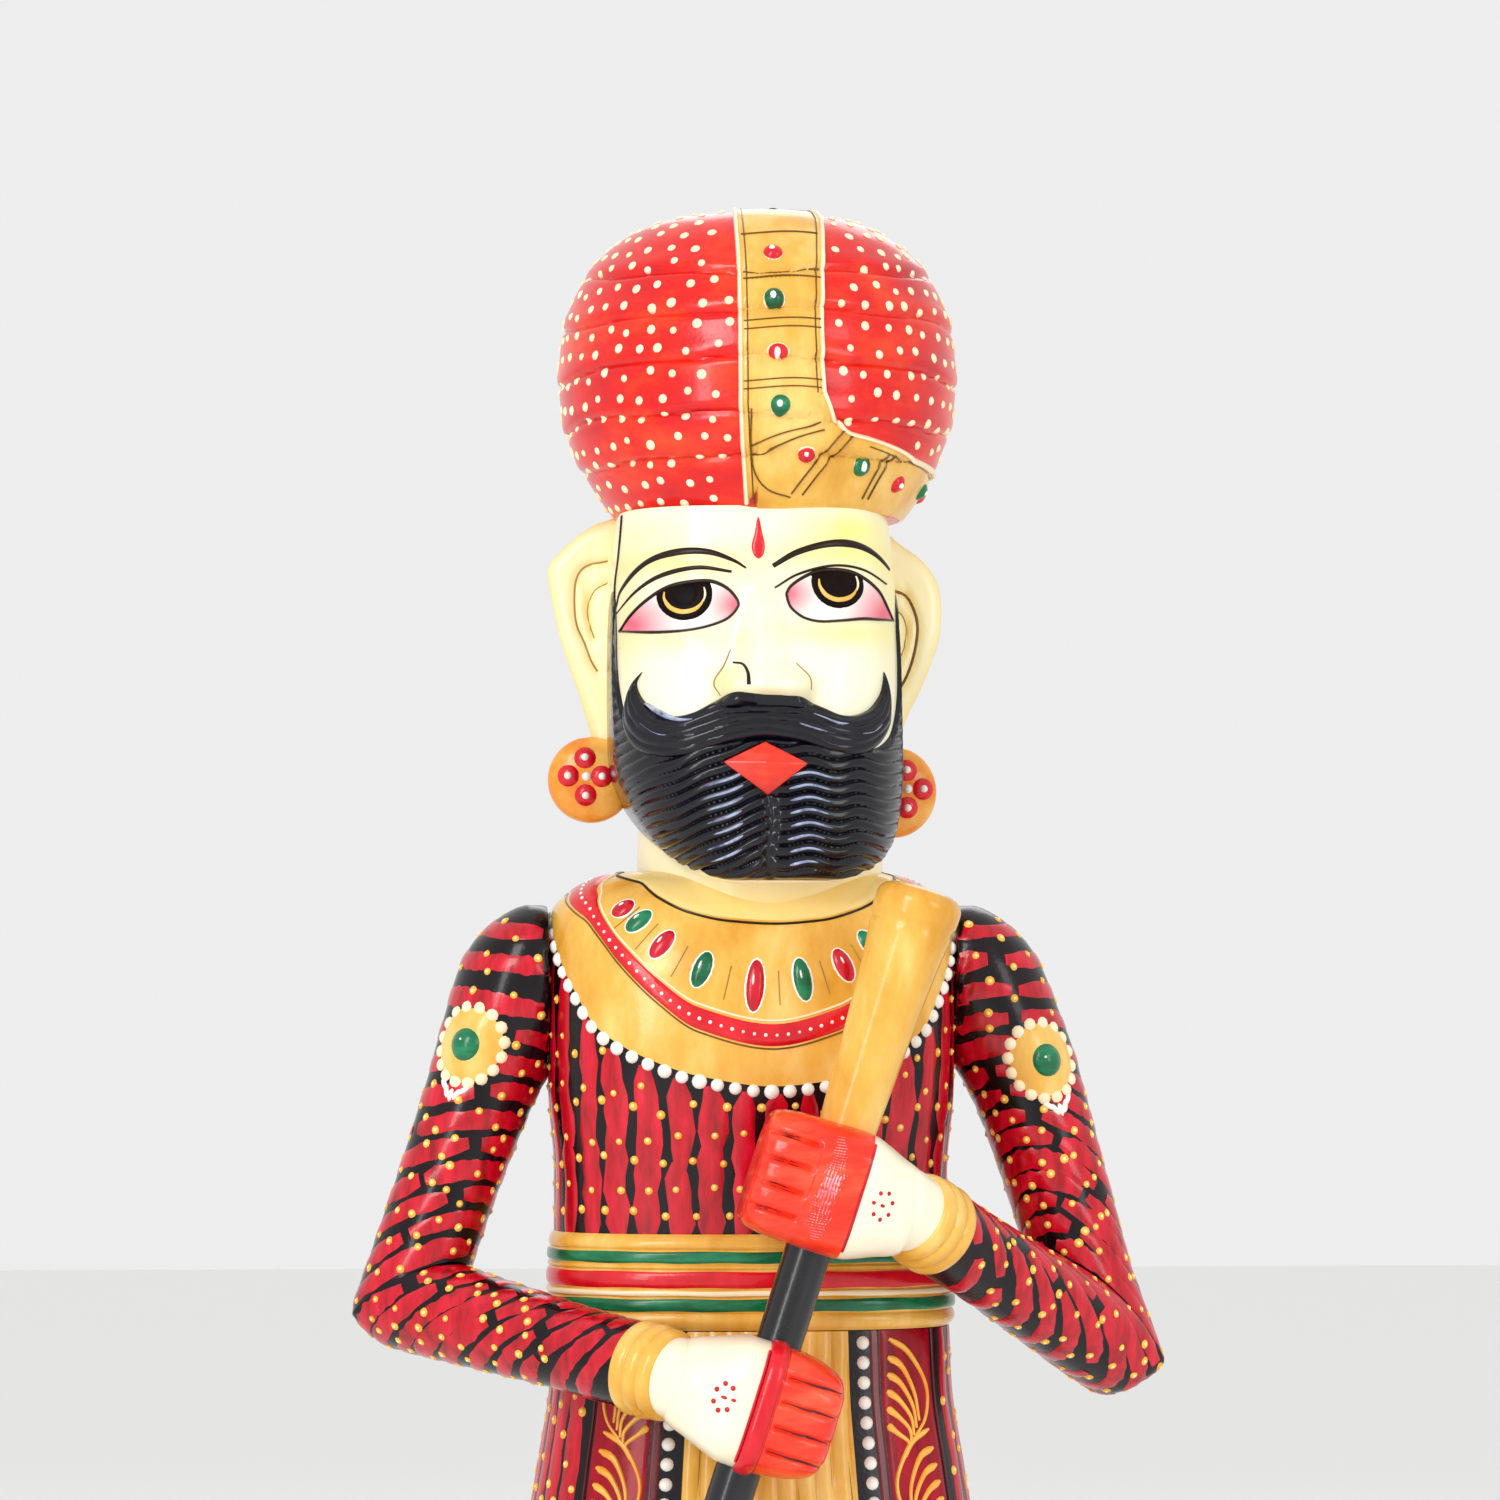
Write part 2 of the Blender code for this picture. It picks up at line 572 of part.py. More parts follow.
def make_arm(side, arm_axis):
    """Upper arm and forearm meet in a mitre at the elbow, each with a dowel to its neighbour."""
    sign = SIDE_SIGN[side]
    shoulder = Vector((sign * SHOULDER_X, 0, SHOULDER_Z))
    elbow = ELBOW[side]
    wrist = wrist_point(side)
    upper = (elbow - shoulder).normalized()
    fore = forearm_direction(side)
    mitre = (upper + fore).normalized()
    overlap = 0.040

    ball = [(0.0, -0.0185, 0.005), (0.0, -0.0165, 0.0105), (0.0, -0.0095, 0.0170)]
    points = [shoulder + upper * offset for _, offset, _ in ball]
    radii = [radius for _, _, radius in ball]
    steps = (0.0, 0.36, 0.72, 1.0)
    points += [shoulder.lerp(elbow, step) for step in steps] + [elbow + upper * overlap]
    radii += list(UPPER_ARM_RADII) + [UPPER_ARM_RADII[-1]]
    name = f"upper_arm_{side}"
    mesh = limb_mesh(name, points, radii)
    trim(mesh, elbow - mitre * GAP / 2, mitre)
    trim(mesh, Vector((sign * (TORSO_SIDE_X + GAP * 2), 0, 0)), Vector((-sign, 0, 0)))
    upper_arm = add_object(name, mesh, paints["sleeve"], arm_axis)

    points = [elbow - fore * overlap]
    points += [elbow.lerp(wrist, step) for step in (0.0, 0.45, 0.85)] + [wrist + fore * 0.02]
    name = f"forearm_{side}"
    mesh = limb_mesh(name, points, [FOREARM_RADII[0], *FOREARM_RADII])
    trim(mesh, elbow + mitre * GAP / 2, -mitre)
    trim(mesh, wrist + HAND_DIRECTION * sign * GAP, -HAND_DIRECTION * sign)
    forearm = add_object(name, mesh, paints["sleeve"], arm_axis)

    inner = Vector((sign * 0.0440, 0, SHOULDER_Z))
    outer = Vector((sign * 0.0760, 0, SHOULDER_Z))
    bar = cylinder_mesh(f"shoulder_dowel_{side}", inner, outer, ARM_DOWEL_RADIUS)
    add_object(f"shoulder_dowel_{side}", bar, paints["dowel"], arm_axis)
    drill(upper_arm, inner, outer + Vector((sign * GAP, 0, 0)), ARM_DOWEL_RADIUS)

    low, high = elbow - mitre * 0.009, elbow + mitre * 0.009
    bar = cylinder_mesh(f"elbow_dowel_{side}", low, high, ARM_DOWEL_RADIUS)
    add_object(f"elbow_dowel_{side}", bar, paints["dowel"], arm_axis)
    drill(upper_arm, low - mitre * GAP, elbow + mitre * 0.02, ARM_DOWEL_RADIUS)
    drill(forearm, elbow - mitre * 0.02, high + mitre * GAP, ARM_DOWEL_RADIUS)

    low, high = wrist - fore * 0.012, wrist + fore * 0.010
    bar = cylinder_mesh(f"wrist_dowel_{side}", low, high, ARM_DOWEL_RADIUS)
    add_object(f"wrist_dowel_{side}", bar, paints["dowel"], arm_axis)
    drill(forearm, low - fore * GAP, wrist + fore * 0.03, ARM_DOWEL_RADIUS)


def make_staff():
    """A black dowel shaft that stands on the plinth, with a turned gold head pushed on its top."""
    foot = staff_point(PLINTH_SIZE.z + GAP + SHAFT_RADIUS * math.tan(STAFF_LEAN) * math.cos(STAFF_LEAN))
    head_end = STAFF_TOP - STAFF_DIRECTION * STAFF_HEAD_LENGTH
    tenon_top = head_end + STAFF_DIRECTION * (STAFF_HEAD_BORE - GAP)
    shaft = cylinder_mesh("staff_shaft", foot, tenon_top, SHAFT_RADIUS, 24)
    add_object("staff_shaft", shaft, paints["black"], staff_axis)

    length = STAFF_HEAD_LENGTH
    profile = (
        (0, 0), (0.0080, -0.0004), (0.0112, -0.0020), (0.0127, -0.0050), (0.0124, -0.0095),
        (0.0116, -0.0125), (0.0118, -0.0150), (0.0086, -length), (0, -length),
    )
    head = turned("staff_head", profile, Vector((0, 0, 0)), paints["gold"], steps=32)
    head.parent = staff_axis
    head.matrix_parent_inverse = Matrix.Identity(4)
    drill(head, head_end - STAFF_DIRECTION * 0.02, tenon_top + STAFF_DIRECTION * GAP, SHAFT_RADIUS, 24)


clear_scene()
parts, cutters = make_collections()
paints = {
    "plinth": paint("plinth_brown", (0.10, 0.035, 0.02), 0.40),
    "steel": paint("screw_steel", (0.60, 0.60, 0.62), 0.35, 1.0),
    "shoe": paint("shoe_gold", (0.62, 0.33, 0.06), 0.30),
    "trouser": paint("trouser_cream", (0.88, 0.80, 0.58), 0.35),
    "coat": paint("coat_crimson", (0.55, 0.015, 0.05), 0.30),
    "sleeve": paint("sleeve_crimson", (0.50, 0.012, 0.05), 0.30),
    "belt": paint("belt_green", (0.02, 0.20, 0.11), 0.30),
    "gold": paint("gold_paint", (0.66, 0.40, 0.08), 0.32),
    "face": paint("face_cream", (0.92, 0.86, 0.62), 0.30),
    "turban": paint("turban_red", (0.80, 0.035, 0.02), 0.25),
    "earring": paint("earring_orange", (0.80, 0.25, 0.05), 0.30),
    "hand": paint("hand_cream", (0.92, 0.86, 0.66), 0.30),
    "black": paint("staff_black", (0.008, 0.007, 0.010), 0.18),
    "dowel": paint("bare_dowel", (0.60, 0.42, 0.22), 0.70),
}
head_axis = add_empty("head_axis", Vector((HEAD_X, 0, NECK_BOTTOM_Z)))
staff_axis = add_empty("staff_axis", STAFF_TOP, STAFF_DIRECTION)

make_plinth()
make_skirt()
make_belt()
make_torso()
make_body_dowels()
make_neck()
make_head()
make_turban()
make_staff()
for own_side in ("right", "left"):
    make_screw(own_side)
    make_shoe(own_side)
    make_leg(own_side)
    make_ear(own_side)
    make_earring(own_side)
    arm_axis_place = Vector((SIDE_SIGN[own_side] * SHOULDER_X, 0, SHOULDER_Z))
    axis_empty = add_empty(f"arm_axis_{own_side}", arm_axis_place, Vector((-1, 0, 0)))
    make_arm(own_side, axis_empty)
    make_fist(own_side, axis_empty)
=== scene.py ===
"""Looks for the carved and painted guard figure: dense carved wood, raised enamel painting and varnish."""
import json
import math
import random

import bmesh
import bpy
import numpy as np
from mathutils import Matrix, Vector
from mathutils.geometry import delaunay_2d_cdt


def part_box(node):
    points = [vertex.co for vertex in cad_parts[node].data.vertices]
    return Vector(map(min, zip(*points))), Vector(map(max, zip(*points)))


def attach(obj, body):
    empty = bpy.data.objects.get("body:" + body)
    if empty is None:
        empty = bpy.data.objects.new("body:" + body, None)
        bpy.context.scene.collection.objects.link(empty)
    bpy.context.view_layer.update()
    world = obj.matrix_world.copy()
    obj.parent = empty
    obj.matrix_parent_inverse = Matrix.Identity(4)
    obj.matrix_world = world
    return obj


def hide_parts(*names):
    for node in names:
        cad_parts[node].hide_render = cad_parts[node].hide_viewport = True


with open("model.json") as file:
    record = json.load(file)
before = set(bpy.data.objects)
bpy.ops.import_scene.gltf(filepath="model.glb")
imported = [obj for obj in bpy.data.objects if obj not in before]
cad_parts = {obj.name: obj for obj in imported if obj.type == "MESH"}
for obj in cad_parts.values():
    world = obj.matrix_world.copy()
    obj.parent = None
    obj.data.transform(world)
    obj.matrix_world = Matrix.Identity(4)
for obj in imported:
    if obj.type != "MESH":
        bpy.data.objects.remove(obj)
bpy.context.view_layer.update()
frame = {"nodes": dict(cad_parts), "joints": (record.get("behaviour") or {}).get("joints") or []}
rng = random.Random(7)

# ---------------------------------------------------------------- driving sizes, from the frame
NECK_LOW, NECK_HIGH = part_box("neck")
NECK_X = (NECK_LOW.x + NECK_HIGH.x) / 2
NECK_RADIUS = (NECK_HIGH.x - NECK_LOW.x) / 2
HEM_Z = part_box("coat_skirt")[0].z
SKIRT_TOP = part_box("coat_skirt")[1].z
BELT_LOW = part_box("waist_belt")[0].z
BELT_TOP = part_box("waist_belt")[1].z
PLINTH_LOW, PLINTH_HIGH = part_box("base_plinth")
JOINTS = {joint["name"]: joint for joint in frame["joints"]}
STAFF_AXIS = Vector(JOINTS["staff_slide"]["axis"]).normalized()
HAND_AXIS = Vector((STAFF_AXIS.z, 0, -STAFF_AXIS.x))
SIDES = {"right": -1, "left": 1}
ELBOW_RADIUS = 0.0149
SHOULDER_LIFT = 0.0058
PAINT_SINK = 0.0002  # how far a body of paint reaches into the wood
TURN_STEP, RUN_STEP = 0.0005, 0.0002  # steps in turns and in metres for taking slopes


# ---------------------------------------------------------------- smooth tables
def mm(rows):
    """Rows written in millimetres, in metres."""
    return tuple(mm(row) if isinstance(row, tuple) else row / 1000 for row in rows)


def hermite(table, column, at):
    """A smooth curve through one column of a table of sections, without overshoot."""
    knots = np.array([row[0] for row in table], float)
    values = np.array([row[column] for row in table], float)
    steps = np.diff(values) / np.diff(knots)
    slopes = np.zeros_like(values)
    inner = steps[:-1] * steps[1:] > 0
    both = steps[:-1] + steps[1:]
    slopes[1:-1][inner] = 2 * (steps[:-1] * steps[1:])[inner] / both[inner]
    slopes[0] = steps[0]
    slopes[-1] = steps[-1]
    at = np.clip(at, knots[0], knots[-1])
    cell = np.clip(np.searchsorted(knots, at, side="right") - 1, 0, len(knots) - 2)
    width = knots[cell + 1] - knots[cell]
    t = (at - knots[cell]) / width
    low, high = values[cell], values[cell + 1]
    return (
        low * (1 + 2 * t) * (1 - t) ** 2 + slopes[cell] * width * t * (1 - t) ** 2
        + high * t * t * (3 - 2 * t) + slopes[cell + 1] * width * t * t * (t - 1)
    )


def smoothstep(low, high, value):
    t = np.clip((value - low) / (high - low), 0, 1)
    return t * t * (3 - 2 * t)


def bell(value, width):
    return np.exp(-(value / width) ** 2)


def signed_power(value, power):
    """A power that keeps the sign: it squares off a circle's corners, or draws them in."""
    return np.sign(value) * np.abs(value) ** power


def dome(share):
    """A half circle over 0 to 1."""
    return np.sqrt(np.maximum(1 - (2 * share - 1) ** 2, 0))


def turns(count):
    """Angles evenly round a full circle."""
    return np.linspace(0, 2 * math.pi, count, endpoint=False)


def pairs(u, v):
    return np.stack([u, v], -1)


def spread(u, v):
    """Two coordinates as arrays of one shape."""
    return np.broadcast_arrays(np.asarray(u, float), np.asarray(v, float))


def run_along(line):
    """How far along a line of points each point is."""
    return np.concatenate([[0], np.cumsum(np.linalg.norm(np.diff(line, axis=0), axis=1))])


def curve_through(points, count, closed=False):
    """Evenly spaced points on a Catmull-Rom curve through a few points."""
    p = np.array(points, float)
    if closed:
        p = np.vstack([p[-1], p, p[0], p[1]])
    else:
        p = np.vstack([2 * p[0] - p[1], p, 2 * p[-1] - p[-2]])
    fine = []
    for k in range(1, len(p) - 2):
        t = np.linspace(0, 1, 16, endpoint=False)[:, None]
        a, b, c, d = p[k - 1], p[k], p[k + 1], p[k + 2]
        fine.append(0.5 * (
            2 * b + (c - a) * t + (2 * a - 5 * b + 4 * c - d) * t ** 2 + (3 * b - a - 3 * c + d) * t ** 3
        ))
    fine.append(p[-2][None, :])
    fine = np.vstack(fine)
    run = run_along(fine)
    at = np.linspace(0, run[-1], count, endpoint=not closed)
    return np.stack([np.interp(at, run, fine[:, axis]) for axis in range(fine.shape[1])], -1)


# ---------------------------------------------------------------- carved surfaces
class Block:
    """A carved block as a surface of (u, z). u is in turns: 0 is the front, 0.25 the figure's left.
    A section is (z, half width, front depth, back depth) with an optional centre x."""

    def __init__(self, sections, centre_x=0.0, power=2.5, relief=None):
        self.sections = [tuple(row) + (() if len(row) > 4 else (centre_x,)) for row in sections]
        self.power = power
        self.relief = relief
        middle = self.sections[len(sections) // 2]
        aspect = (middle[2] + middle[3]) / 2 / middle[1]
        self.angle = np.linspace(0, 2 * math.pi, 1441)
        x = self.bow(np.cos(self.angle))
        y = aspect * self.bow(np.sin(self.angle))
        run = np.concatenate([[0], np.cumsum(np.hypot(np.diff(x), np.diff(y)))])
        self.run = run / run[-1]

    def bow(self, value):
        return signed_power(value, 2 / self.power)

    def plain(self, u, z):
        theta = np.interp((u - 0.25) % 1.0, self.run, self.angle)
        half_width, front, back, centre = (hermite(self.sections, column, z) for column in (1, 2, 3, 4))
        x = centre + half_width * self.bow(np.cos(theta))
        y = (back - front) / 2 + (back + front) / 2 * self.bow(np.sin(theta))
        return np.stack([x, y, z + 0 * x], -1)

    def __call__(self, u, z):
        u, z = spread(u, z)
        point = self.plain(u, z)
        if self.relief is None:
            return point
        return point + outward(self.plain, u, z) * self.relief(u, z, point)[..., None]

    def turn_at(self, x, z):
        """The turn at which the front of the block has a given x."""
        z = np.asarray(z, float)
        across = np.clip((np.asarray(x, float) - hermite(self.sections, 4, z)) / hermite(self.sections, 1, z), -1, 1)
        cosine = signed_power(across, self.power / 2)
        return (np.interp(2 * math.pi - np.arccos(cosine), self.angle, self.run) + 0.75) % 1.0 - 0.5


class Limb:
    """A sleeve as a surface of (u, t): u in turns round it from the front, t in metres from its start.
    It is trimmed at the elbow's mitre, which is eased on its outer side, and against the coat's side."""

    def __init__(self, start, end, radii, elbow, fold, outer, reach, side_x=None, bow=((0.0, 0.0), (0.1, 0.0))):
        along = (end - start).normalized()
        side = along.cross(Vector((0, -1, 0))).normalized()
        self.start, self.elbow, self.fold, self.outer = (np.array(v) for v in (start, elbow, fold, outer))
        self.along, self.side, self.up = (np.array(v) for v in (along, side, side.cross(along)))
        self.length = (end - start).length
        self.radii = radii
        self.reach = reach
        self.side_x = side_x
        self.bow = bow

    def ring(self, u):
        angle = 2 * math.pi * np.asarray(u, float)[..., None]
        return np.cos(angle) * self.up + np.sin(angle) * self.side

    def fold_at(self, u):
        """How far along the sleeve its elbow mitre is, at a turn."""
        away = self.ring(u) @ self.fold * ELBOW_RADIUS
        return ((self.elbow - self.start) @ self.fold - away) / (self.along @ self.fold)

    def __call__(self, u, t):
        u, t = spread(u, t)
        radius = hermite(self.radii, 1, t)[..., None]
        point = self.start + self.along * t[..., None] + self.ring(u) * radius
        point = point + np.array((hermite(self.bow, 1, t), 0 * t, 0 * t)).transpose(*range(1, t.ndim + 1), 0)
        beyond = (point - self.elbow) @ self.fold / (self.along @ self.fold)
        point = point - self.along * np.maximum(beyond * self.reach, 0)[..., None] * self.reach
        bulge = (point - self.elbow) @ self.outer
        ease = np.maximum(bulge - ELBOW_RADIUS * 0.55, 0)
        point = point - self.outer * (ease - ELBOW_RADIUS * 0.42 * np.tanh(ease / (ELBOW_RADIUS * 0.42)))[..., None]
        if self.side_x is not None:
            sign = math.copysign(1, self.side_x)
            across = np.maximum(point[..., 0] * sign, abs(self.side_x))
            near = smoothstep(abs(self.side_x) + 0.024, abs(self.side_x), across)
            rise = SHOULDER_LIFT * near * smoothstep(-0.016, 0.014, point[..., 2] - self.start[2])
            point[..., 0] = across * sign
            point[..., 2] += rise
        return point


def outward(surface, u, v, du=TURN_STEP, dv=RUN_STEP):
    """The surface's unit normal, pointing out of the wood."""
    normal = np.cross(surface(u + du, v) - surface(u - du, v), surface(u, v + dv) - surface(u, v - dv))
    return normal / np.maximum(np.linalg.norm(normal, axis=-1, keepdims=True), 1e-12)


def step_on(surface, u, v, move, du=TURN_STEP, dv=RUN_STEP):
    """The change of (u, v) that follows a small move in space along the surface."""
    across = (surface(u + du, v) - surface(u - du, v)) / (2 * du)
    up = (surface(u, v + dv) - surface(u, v - dv)) / (2 * dv)
    a, b, c = (across * across).sum(-1), (across * up).sum(-1), (up * up).sum(-1)
    p, q = (across * move).sum(-1), (up * move).sum(-1)
    det = np.maximum(a * c - b * b, 1e-14)
    return (c * p - b * q) / det, (a * q - b * p) / det


# ---------------------------------------------------------------- meshes and paint bodies
def place(name, mesh, material, body, slot, nodes=(), sharp=40):
    """Puts a finished mesh in the scene with its paint, on its moving body."""
    mesh.validate()
    bm = bmesh.new()
    bm.from_mesh(mesh)
    bmesh.ops.recalc_face_normals(bm, faces=bm.faces)
    bm.to_mesh(mesh)
    bm.free()
    mesh.shade_smooth()
    mesh.set_sharp_from_angle(angle=math.radians(sharp))
    mesh.materials.append(material)
    obj = bpy.data.objects.new(name, mesh)
    bpy.context.scene.collection.objects.link(obj)
    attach(obj, body)
    if nodes:
        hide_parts(*nodes)
    return obj


class Layer:
    """Gathers many small closed bodies of one paint on one moving body, and becomes one mesh."""

    made = {}

    def __init__(self, name, body, slot, paint):
        self.facts = (name, body, slot, paint)
        self.verts, self.faces, self.tones = [], [], []
        self.count = 0

    @classmethod
    def of(cls, name, body, slot, paint):
        if name not in cls.made:
            cls.made[name] = cls(name, body, slot, paint)
        return cls.made[name]

    def add(self, verts, faces, tones=None):
        verts = np.asarray(verts, float).reshape(-1, 3)
        self.verts.append(verts)
        self.tones.append(np.ones((len(verts), 3)) if tones is None else np.asarray(tones, float).reshape(-1, 3))
        self.faces.extend([tuple(index + self.count for index in face) for face in faces])
        self.count += len(verts)

    def build(self):
        name, body, slot, paint = self.facts
        mesh = bpy.data.meshes.new(name)
        mesh.from_pydata(np.concatenate(self.verts).tolist(), [], self.faces)
        set_tones(mesh, np.concatenate(self.tones))
        return place(name, mesh, PAINT[paint], body, slot)


def face_layer(name, paint):
    return Layer.of(name, "head", "face_paint", paint)


def turban_layer(name, paint):
    return Layer.of(name, "head", "turban_paint", paint)


def gold_layer(name, paint):
    return Layer.of(name, "body", "gold_paint", paint)


def coat_layer(name, paint):
    return Layer.of(name, "body", "coat_paint", paint)


def set_tones(mesh, tones):
    """Keeps a tint for each vertex, which the paint's own colour is multiplied by."""
    attribute = mesh.color_attributes.new("shade", "FLOAT_COLOR", "POINT")
    attribute.data.foreach_set("color", np.hstack([tones, np.ones((len(tones), 1))]).astype(np.float32).ravel())


def grid_faces(rows, columns, wrap=False):
    faces = []
    for row in range(rows - 1):
        for column in range(columns if wrap else columns - 1):
            after = (column + 1) % columns
            low, high = row * columns, (row + 1) * columns
            faces.append((low + column, low + after, high + after, high + column))
    return faces


def tube_mesh(name, grid, tones=None):
    """A mesh from a grid of points that wraps round along its columns and is capped at both ends."""
    rows, columns = grid.shape[:2]
    faces = grid_faces(rows, columns, wrap=True)
    faces.append(tuple(reversed(range(columns))))
    faces.append(tuple(range((rows - 1) * columns, rows * columns)))
    mesh = bpy.data.meshes.new(name)
    mesh.from_pydata(grid.reshape(-1, 3).tolist(), [], faces)
    set_tones(mesh, np.ones((rows * columns, 3)) if tones is None else tones.reshape(-1, 3))
    return mesh


def carve(node, kind, grid, paint, body, slot, tones=None):
    """Puts a wrapped grid of points in the place of the CAD node that it looks like."""
    return place(f"{node}_{kind}", tube_mesh(node, grid, tones), PAINT[paint], body, slot, (node,))


def block_mesh(name, surface, low, high, columns, rows):
    u = np.linspace(0, 1, columns, endpoint=False)
    return tube_mesh(name, surface(u[None, :], np.linspace(low, high, rows)[:, None]))


def add_sheet(layer, top, bottom, tones=None):
    """A thin closed body between two grids of points that share their layout."""
    rows, columns = top.shape[:2]
    size = rows * columns
    upper = grid_faces(rows, columns)
    lower = [tuple(size + index for index in reversed(face)) for face in upper]
    rim = list(range(columns)) + [r * columns + columns - 1 for r in range(1, rows)]
    rim += [(rows - 1) * columns + c for c in range(columns - 2, -1, -1)]
    rim += [r * columns for r in range(rows - 2, 0, -1)]
    sides = [(b, a, size + a, size + b) for a, b in zip(rim, rim[1:] + rim[:1])]
    if tones is not None:
        tones = np.concatenate([tones.reshape(-1, 3)] * 2)
    layer.add(np.concatenate([top.reshape(-1, 3), bottom.reshape(-1, 3)]), upper + lower + sides, tones)


def raise_grid(layer, surface, u, v, height, sink=PAINT_SINK, tones=None, rim=0.25):
    """Paint laid over a grid of (u, v) points, thinner at its rim."""
    point = surface(u, v)
    normal = outward(surface, u, v)
    lift = np.array(np.broadcast_to(height, u.shape), float)
    lift[0, :] *= rim
    lift[-1, :] *= rim
    lift[:, 0] *= rim
    lift[:, -1] *= rim
    add_sheet(layer, point + normal * lift[..., None], point - normal * sink, tones)


def band(layer, surface, low, high, columns, rows, height, start=-0.5, end=0.5, **options):
    """Paint between two lines v = low(u) and v = high(u)."""
    u = np.linspace(start, end, columns)
    bottom = low(u) if callable(low) else np.full(columns, low)
    top = high(u) if callable(high) else np.full(columns, high)
    share = np.linspace(0, 1, rows)[:, None]
    v = bottom + (top - bottom) * share
    u = np.broadcast_to(u, v.shape)
    if callable(height):
        height = height(u, v, share + 0 * v)
    raise_grid(layer, surface, u, v, height, **options)


def stroke(layer, surface, path, widths, height=0.0003, across=5, ragged=0.0):
    """One brush stroke along a path of (u, v) points, crowned in the middle."""
    path = np.asarray(path, float)
    u, v = path[:, 0], path[:, 1]
    point = surface(u, v)
    side = np.cross(outward(surface, u, v), np.gradient(point, axis=0))
    side /= np.maximum(np.linalg.norm(side, axis=-1, keepdims=True), 1e-12)
    widths = np.broadcast_to(np.asarray(widths, float), u.shape)
    offset = np.linspace(-1, 1, across)
    rough = 1 + ragged * np.array([[rng.uniform(-1, 1) for _ in u] for _ in (0, 1)])
    reach = np.array([widths * k * (rough[0] if k < 0 else rough[1]) for k in offset])
    du, dv = step_on(surface, u[None, :].repeat(across, 0), v[None, :].repeat(across, 0), side[None] * reach[..., None])
    normal = outward(surface, u + du, v + dv)
    spot = surface(u + du, v + dv)
    lift = height * (0.2 + 0.8 * np.sqrt(1 - offset ** 2))[:, None] * np.minimum(1, widths / widths.max() + 0.3)
    add_sheet(layer, spot + normal * lift[..., None], spot - normal * PAINT_SINK)


def brush(share, press, start, part, power, least):
    """How wide a brush stroke is along its length: it swells from the start and thins at the end."""
    return np.clip(press * np.sin(math.pi * (start + part * share)) ** power, least, 1)


DOT_RINGS = ((0.45, 0.88), (0.80, 0.55), (1.0, 0.05))


def dot(layer, surface, u, v, radius, height, sides=10, stretch=1.0, tilt=0.0, sink=PAINT_SINK, tone=None):
    """One drop of paint: a low dome, round or drawn out along its tilt."""
    u0, v0 = np.array([u], float), np.array([v], float)
    across = surface(u0 + TURN_STEP, v0)[0] - surface(u0 - TURN_STEP, v0)[0]
    across /= np.linalg.norm(across)
    normal = outward(surface, u0, v0)[0]
    up = np.cross(normal, across)
    angle = turns(sides)
    reach = np.repeat([share for share, _ in DOT_RINGS], sides)
    lift = np.repeat([share for _, share in DOT_RINGS], sides)
    angle = np.tile(angle, len(DOT_RINGS))
    x = np.cos(angle) * reach * radius
    y = np.sin(angle) * reach * radius * stretch
    move = (x * math.cos(tilt) - y * math.sin(tilt))[:, None] * across
    move = move + (x * math.sin(tilt) + y * math.cos(tilt))[:, None] * up
    base = (u0.repeat(len(x)), v0.repeat(len(x)))
    du, dv = step_on(surface, *base, move)
    spot = surface(base[0] + du, base[1] + dv)
    spot = spot + outward(surface, base[0] + du, base[1] + dv) * (height * lift)[:, None]
    centre = surface(u0, v0)[0]
    verts = np.vstack([centre + normal * height, spot, centre - normal * sink])
    faces = []
    for index in range(sides):
        after = (index + 1) % sides
        faces.append((0, 1 + index, 1 + after))
        for ring in (1, 1 + sides):
            faces.append((ring + index, ring + sides + index, ring + sides + after, ring + after))
        faces.append((1 + 2 * sides + index, 1 + 3 * sides, 1 + 2 * sides + after))
    layer.add(verts, faces, None if tone is None else np.tile(tone, (len(verts), 1)))


def inlay(layer, surface, outline, height, cell=0.0012, dome=0.0, tint=None, sink=PAINT_SINK, chart=None):
    """Paint inside an outline of (u, v) points, or of chart points that the chart turns into (u, v)."""
    outline = np.asarray(outline, float)
    flat, faces = fill_outline(outline, cell, cell / 2, cell * 0.35)
    u, v = chart(flat[:, 0], flat[:, 1]) if chart else (flat[:, 0], flat[:, 1])
    base = surface(u, v)
    normal = outward(surface, u, v)
    depth = np.minimum(edge_distance(flat, outline) / cell, 1)
    away = np.linalg.norm((flat - flat.mean(0)) / (np.ptp(outline, axis=0) / 2), axis=1)
    lift = height * (0.2 + 0.8 * depth) + dome * (1 - np.minimum(away, 1) ** 2)
    tones = None if tint is None else np.tile(tint(flat[:, 0], flat[:, 1]), (2, 1))
    layer.add(np.vstack([base + normal * lift[:, None], base - normal * sink]), faces, tones)


def fill_outline(outline, cell, offset, margin):
    """The points of a flat outline filled with cells, and the faces of a closed body with two such layers."""
    low, high = outline.min(0), outline.max(0)
    columns, rows = (np.arange(low[axis] + offset, high[axis], cell) for axis in (0, 1))
    inner = [Vector((x, y)) for x in columns for y in rows if within((x, y), outline, margin)]
    size = len(outline)
    loop = [(k, (k + 1) % size) for k in range(size)]
    flat, _, faces, *_ = delaunay_2d_cdt([Vector(p) for p in outline] + inner, loop, [list(range(size))], 1, 1e-9)
    faces = [tuple(face) for face in faces]
    count = len(flat)
    edges = dict.fromkeys((a, b) for face in faces for a, b in zip(face, face[1:] + face[:1]))
    sides = [(b, a, count + a, count + b) for a, b in edges if (b, a) not in edges]
    lower = [tuple(count + index for index in reversed(face)) for face in faces]
    return np.array([tuple(p) for p in flat]), faces + lower + sides


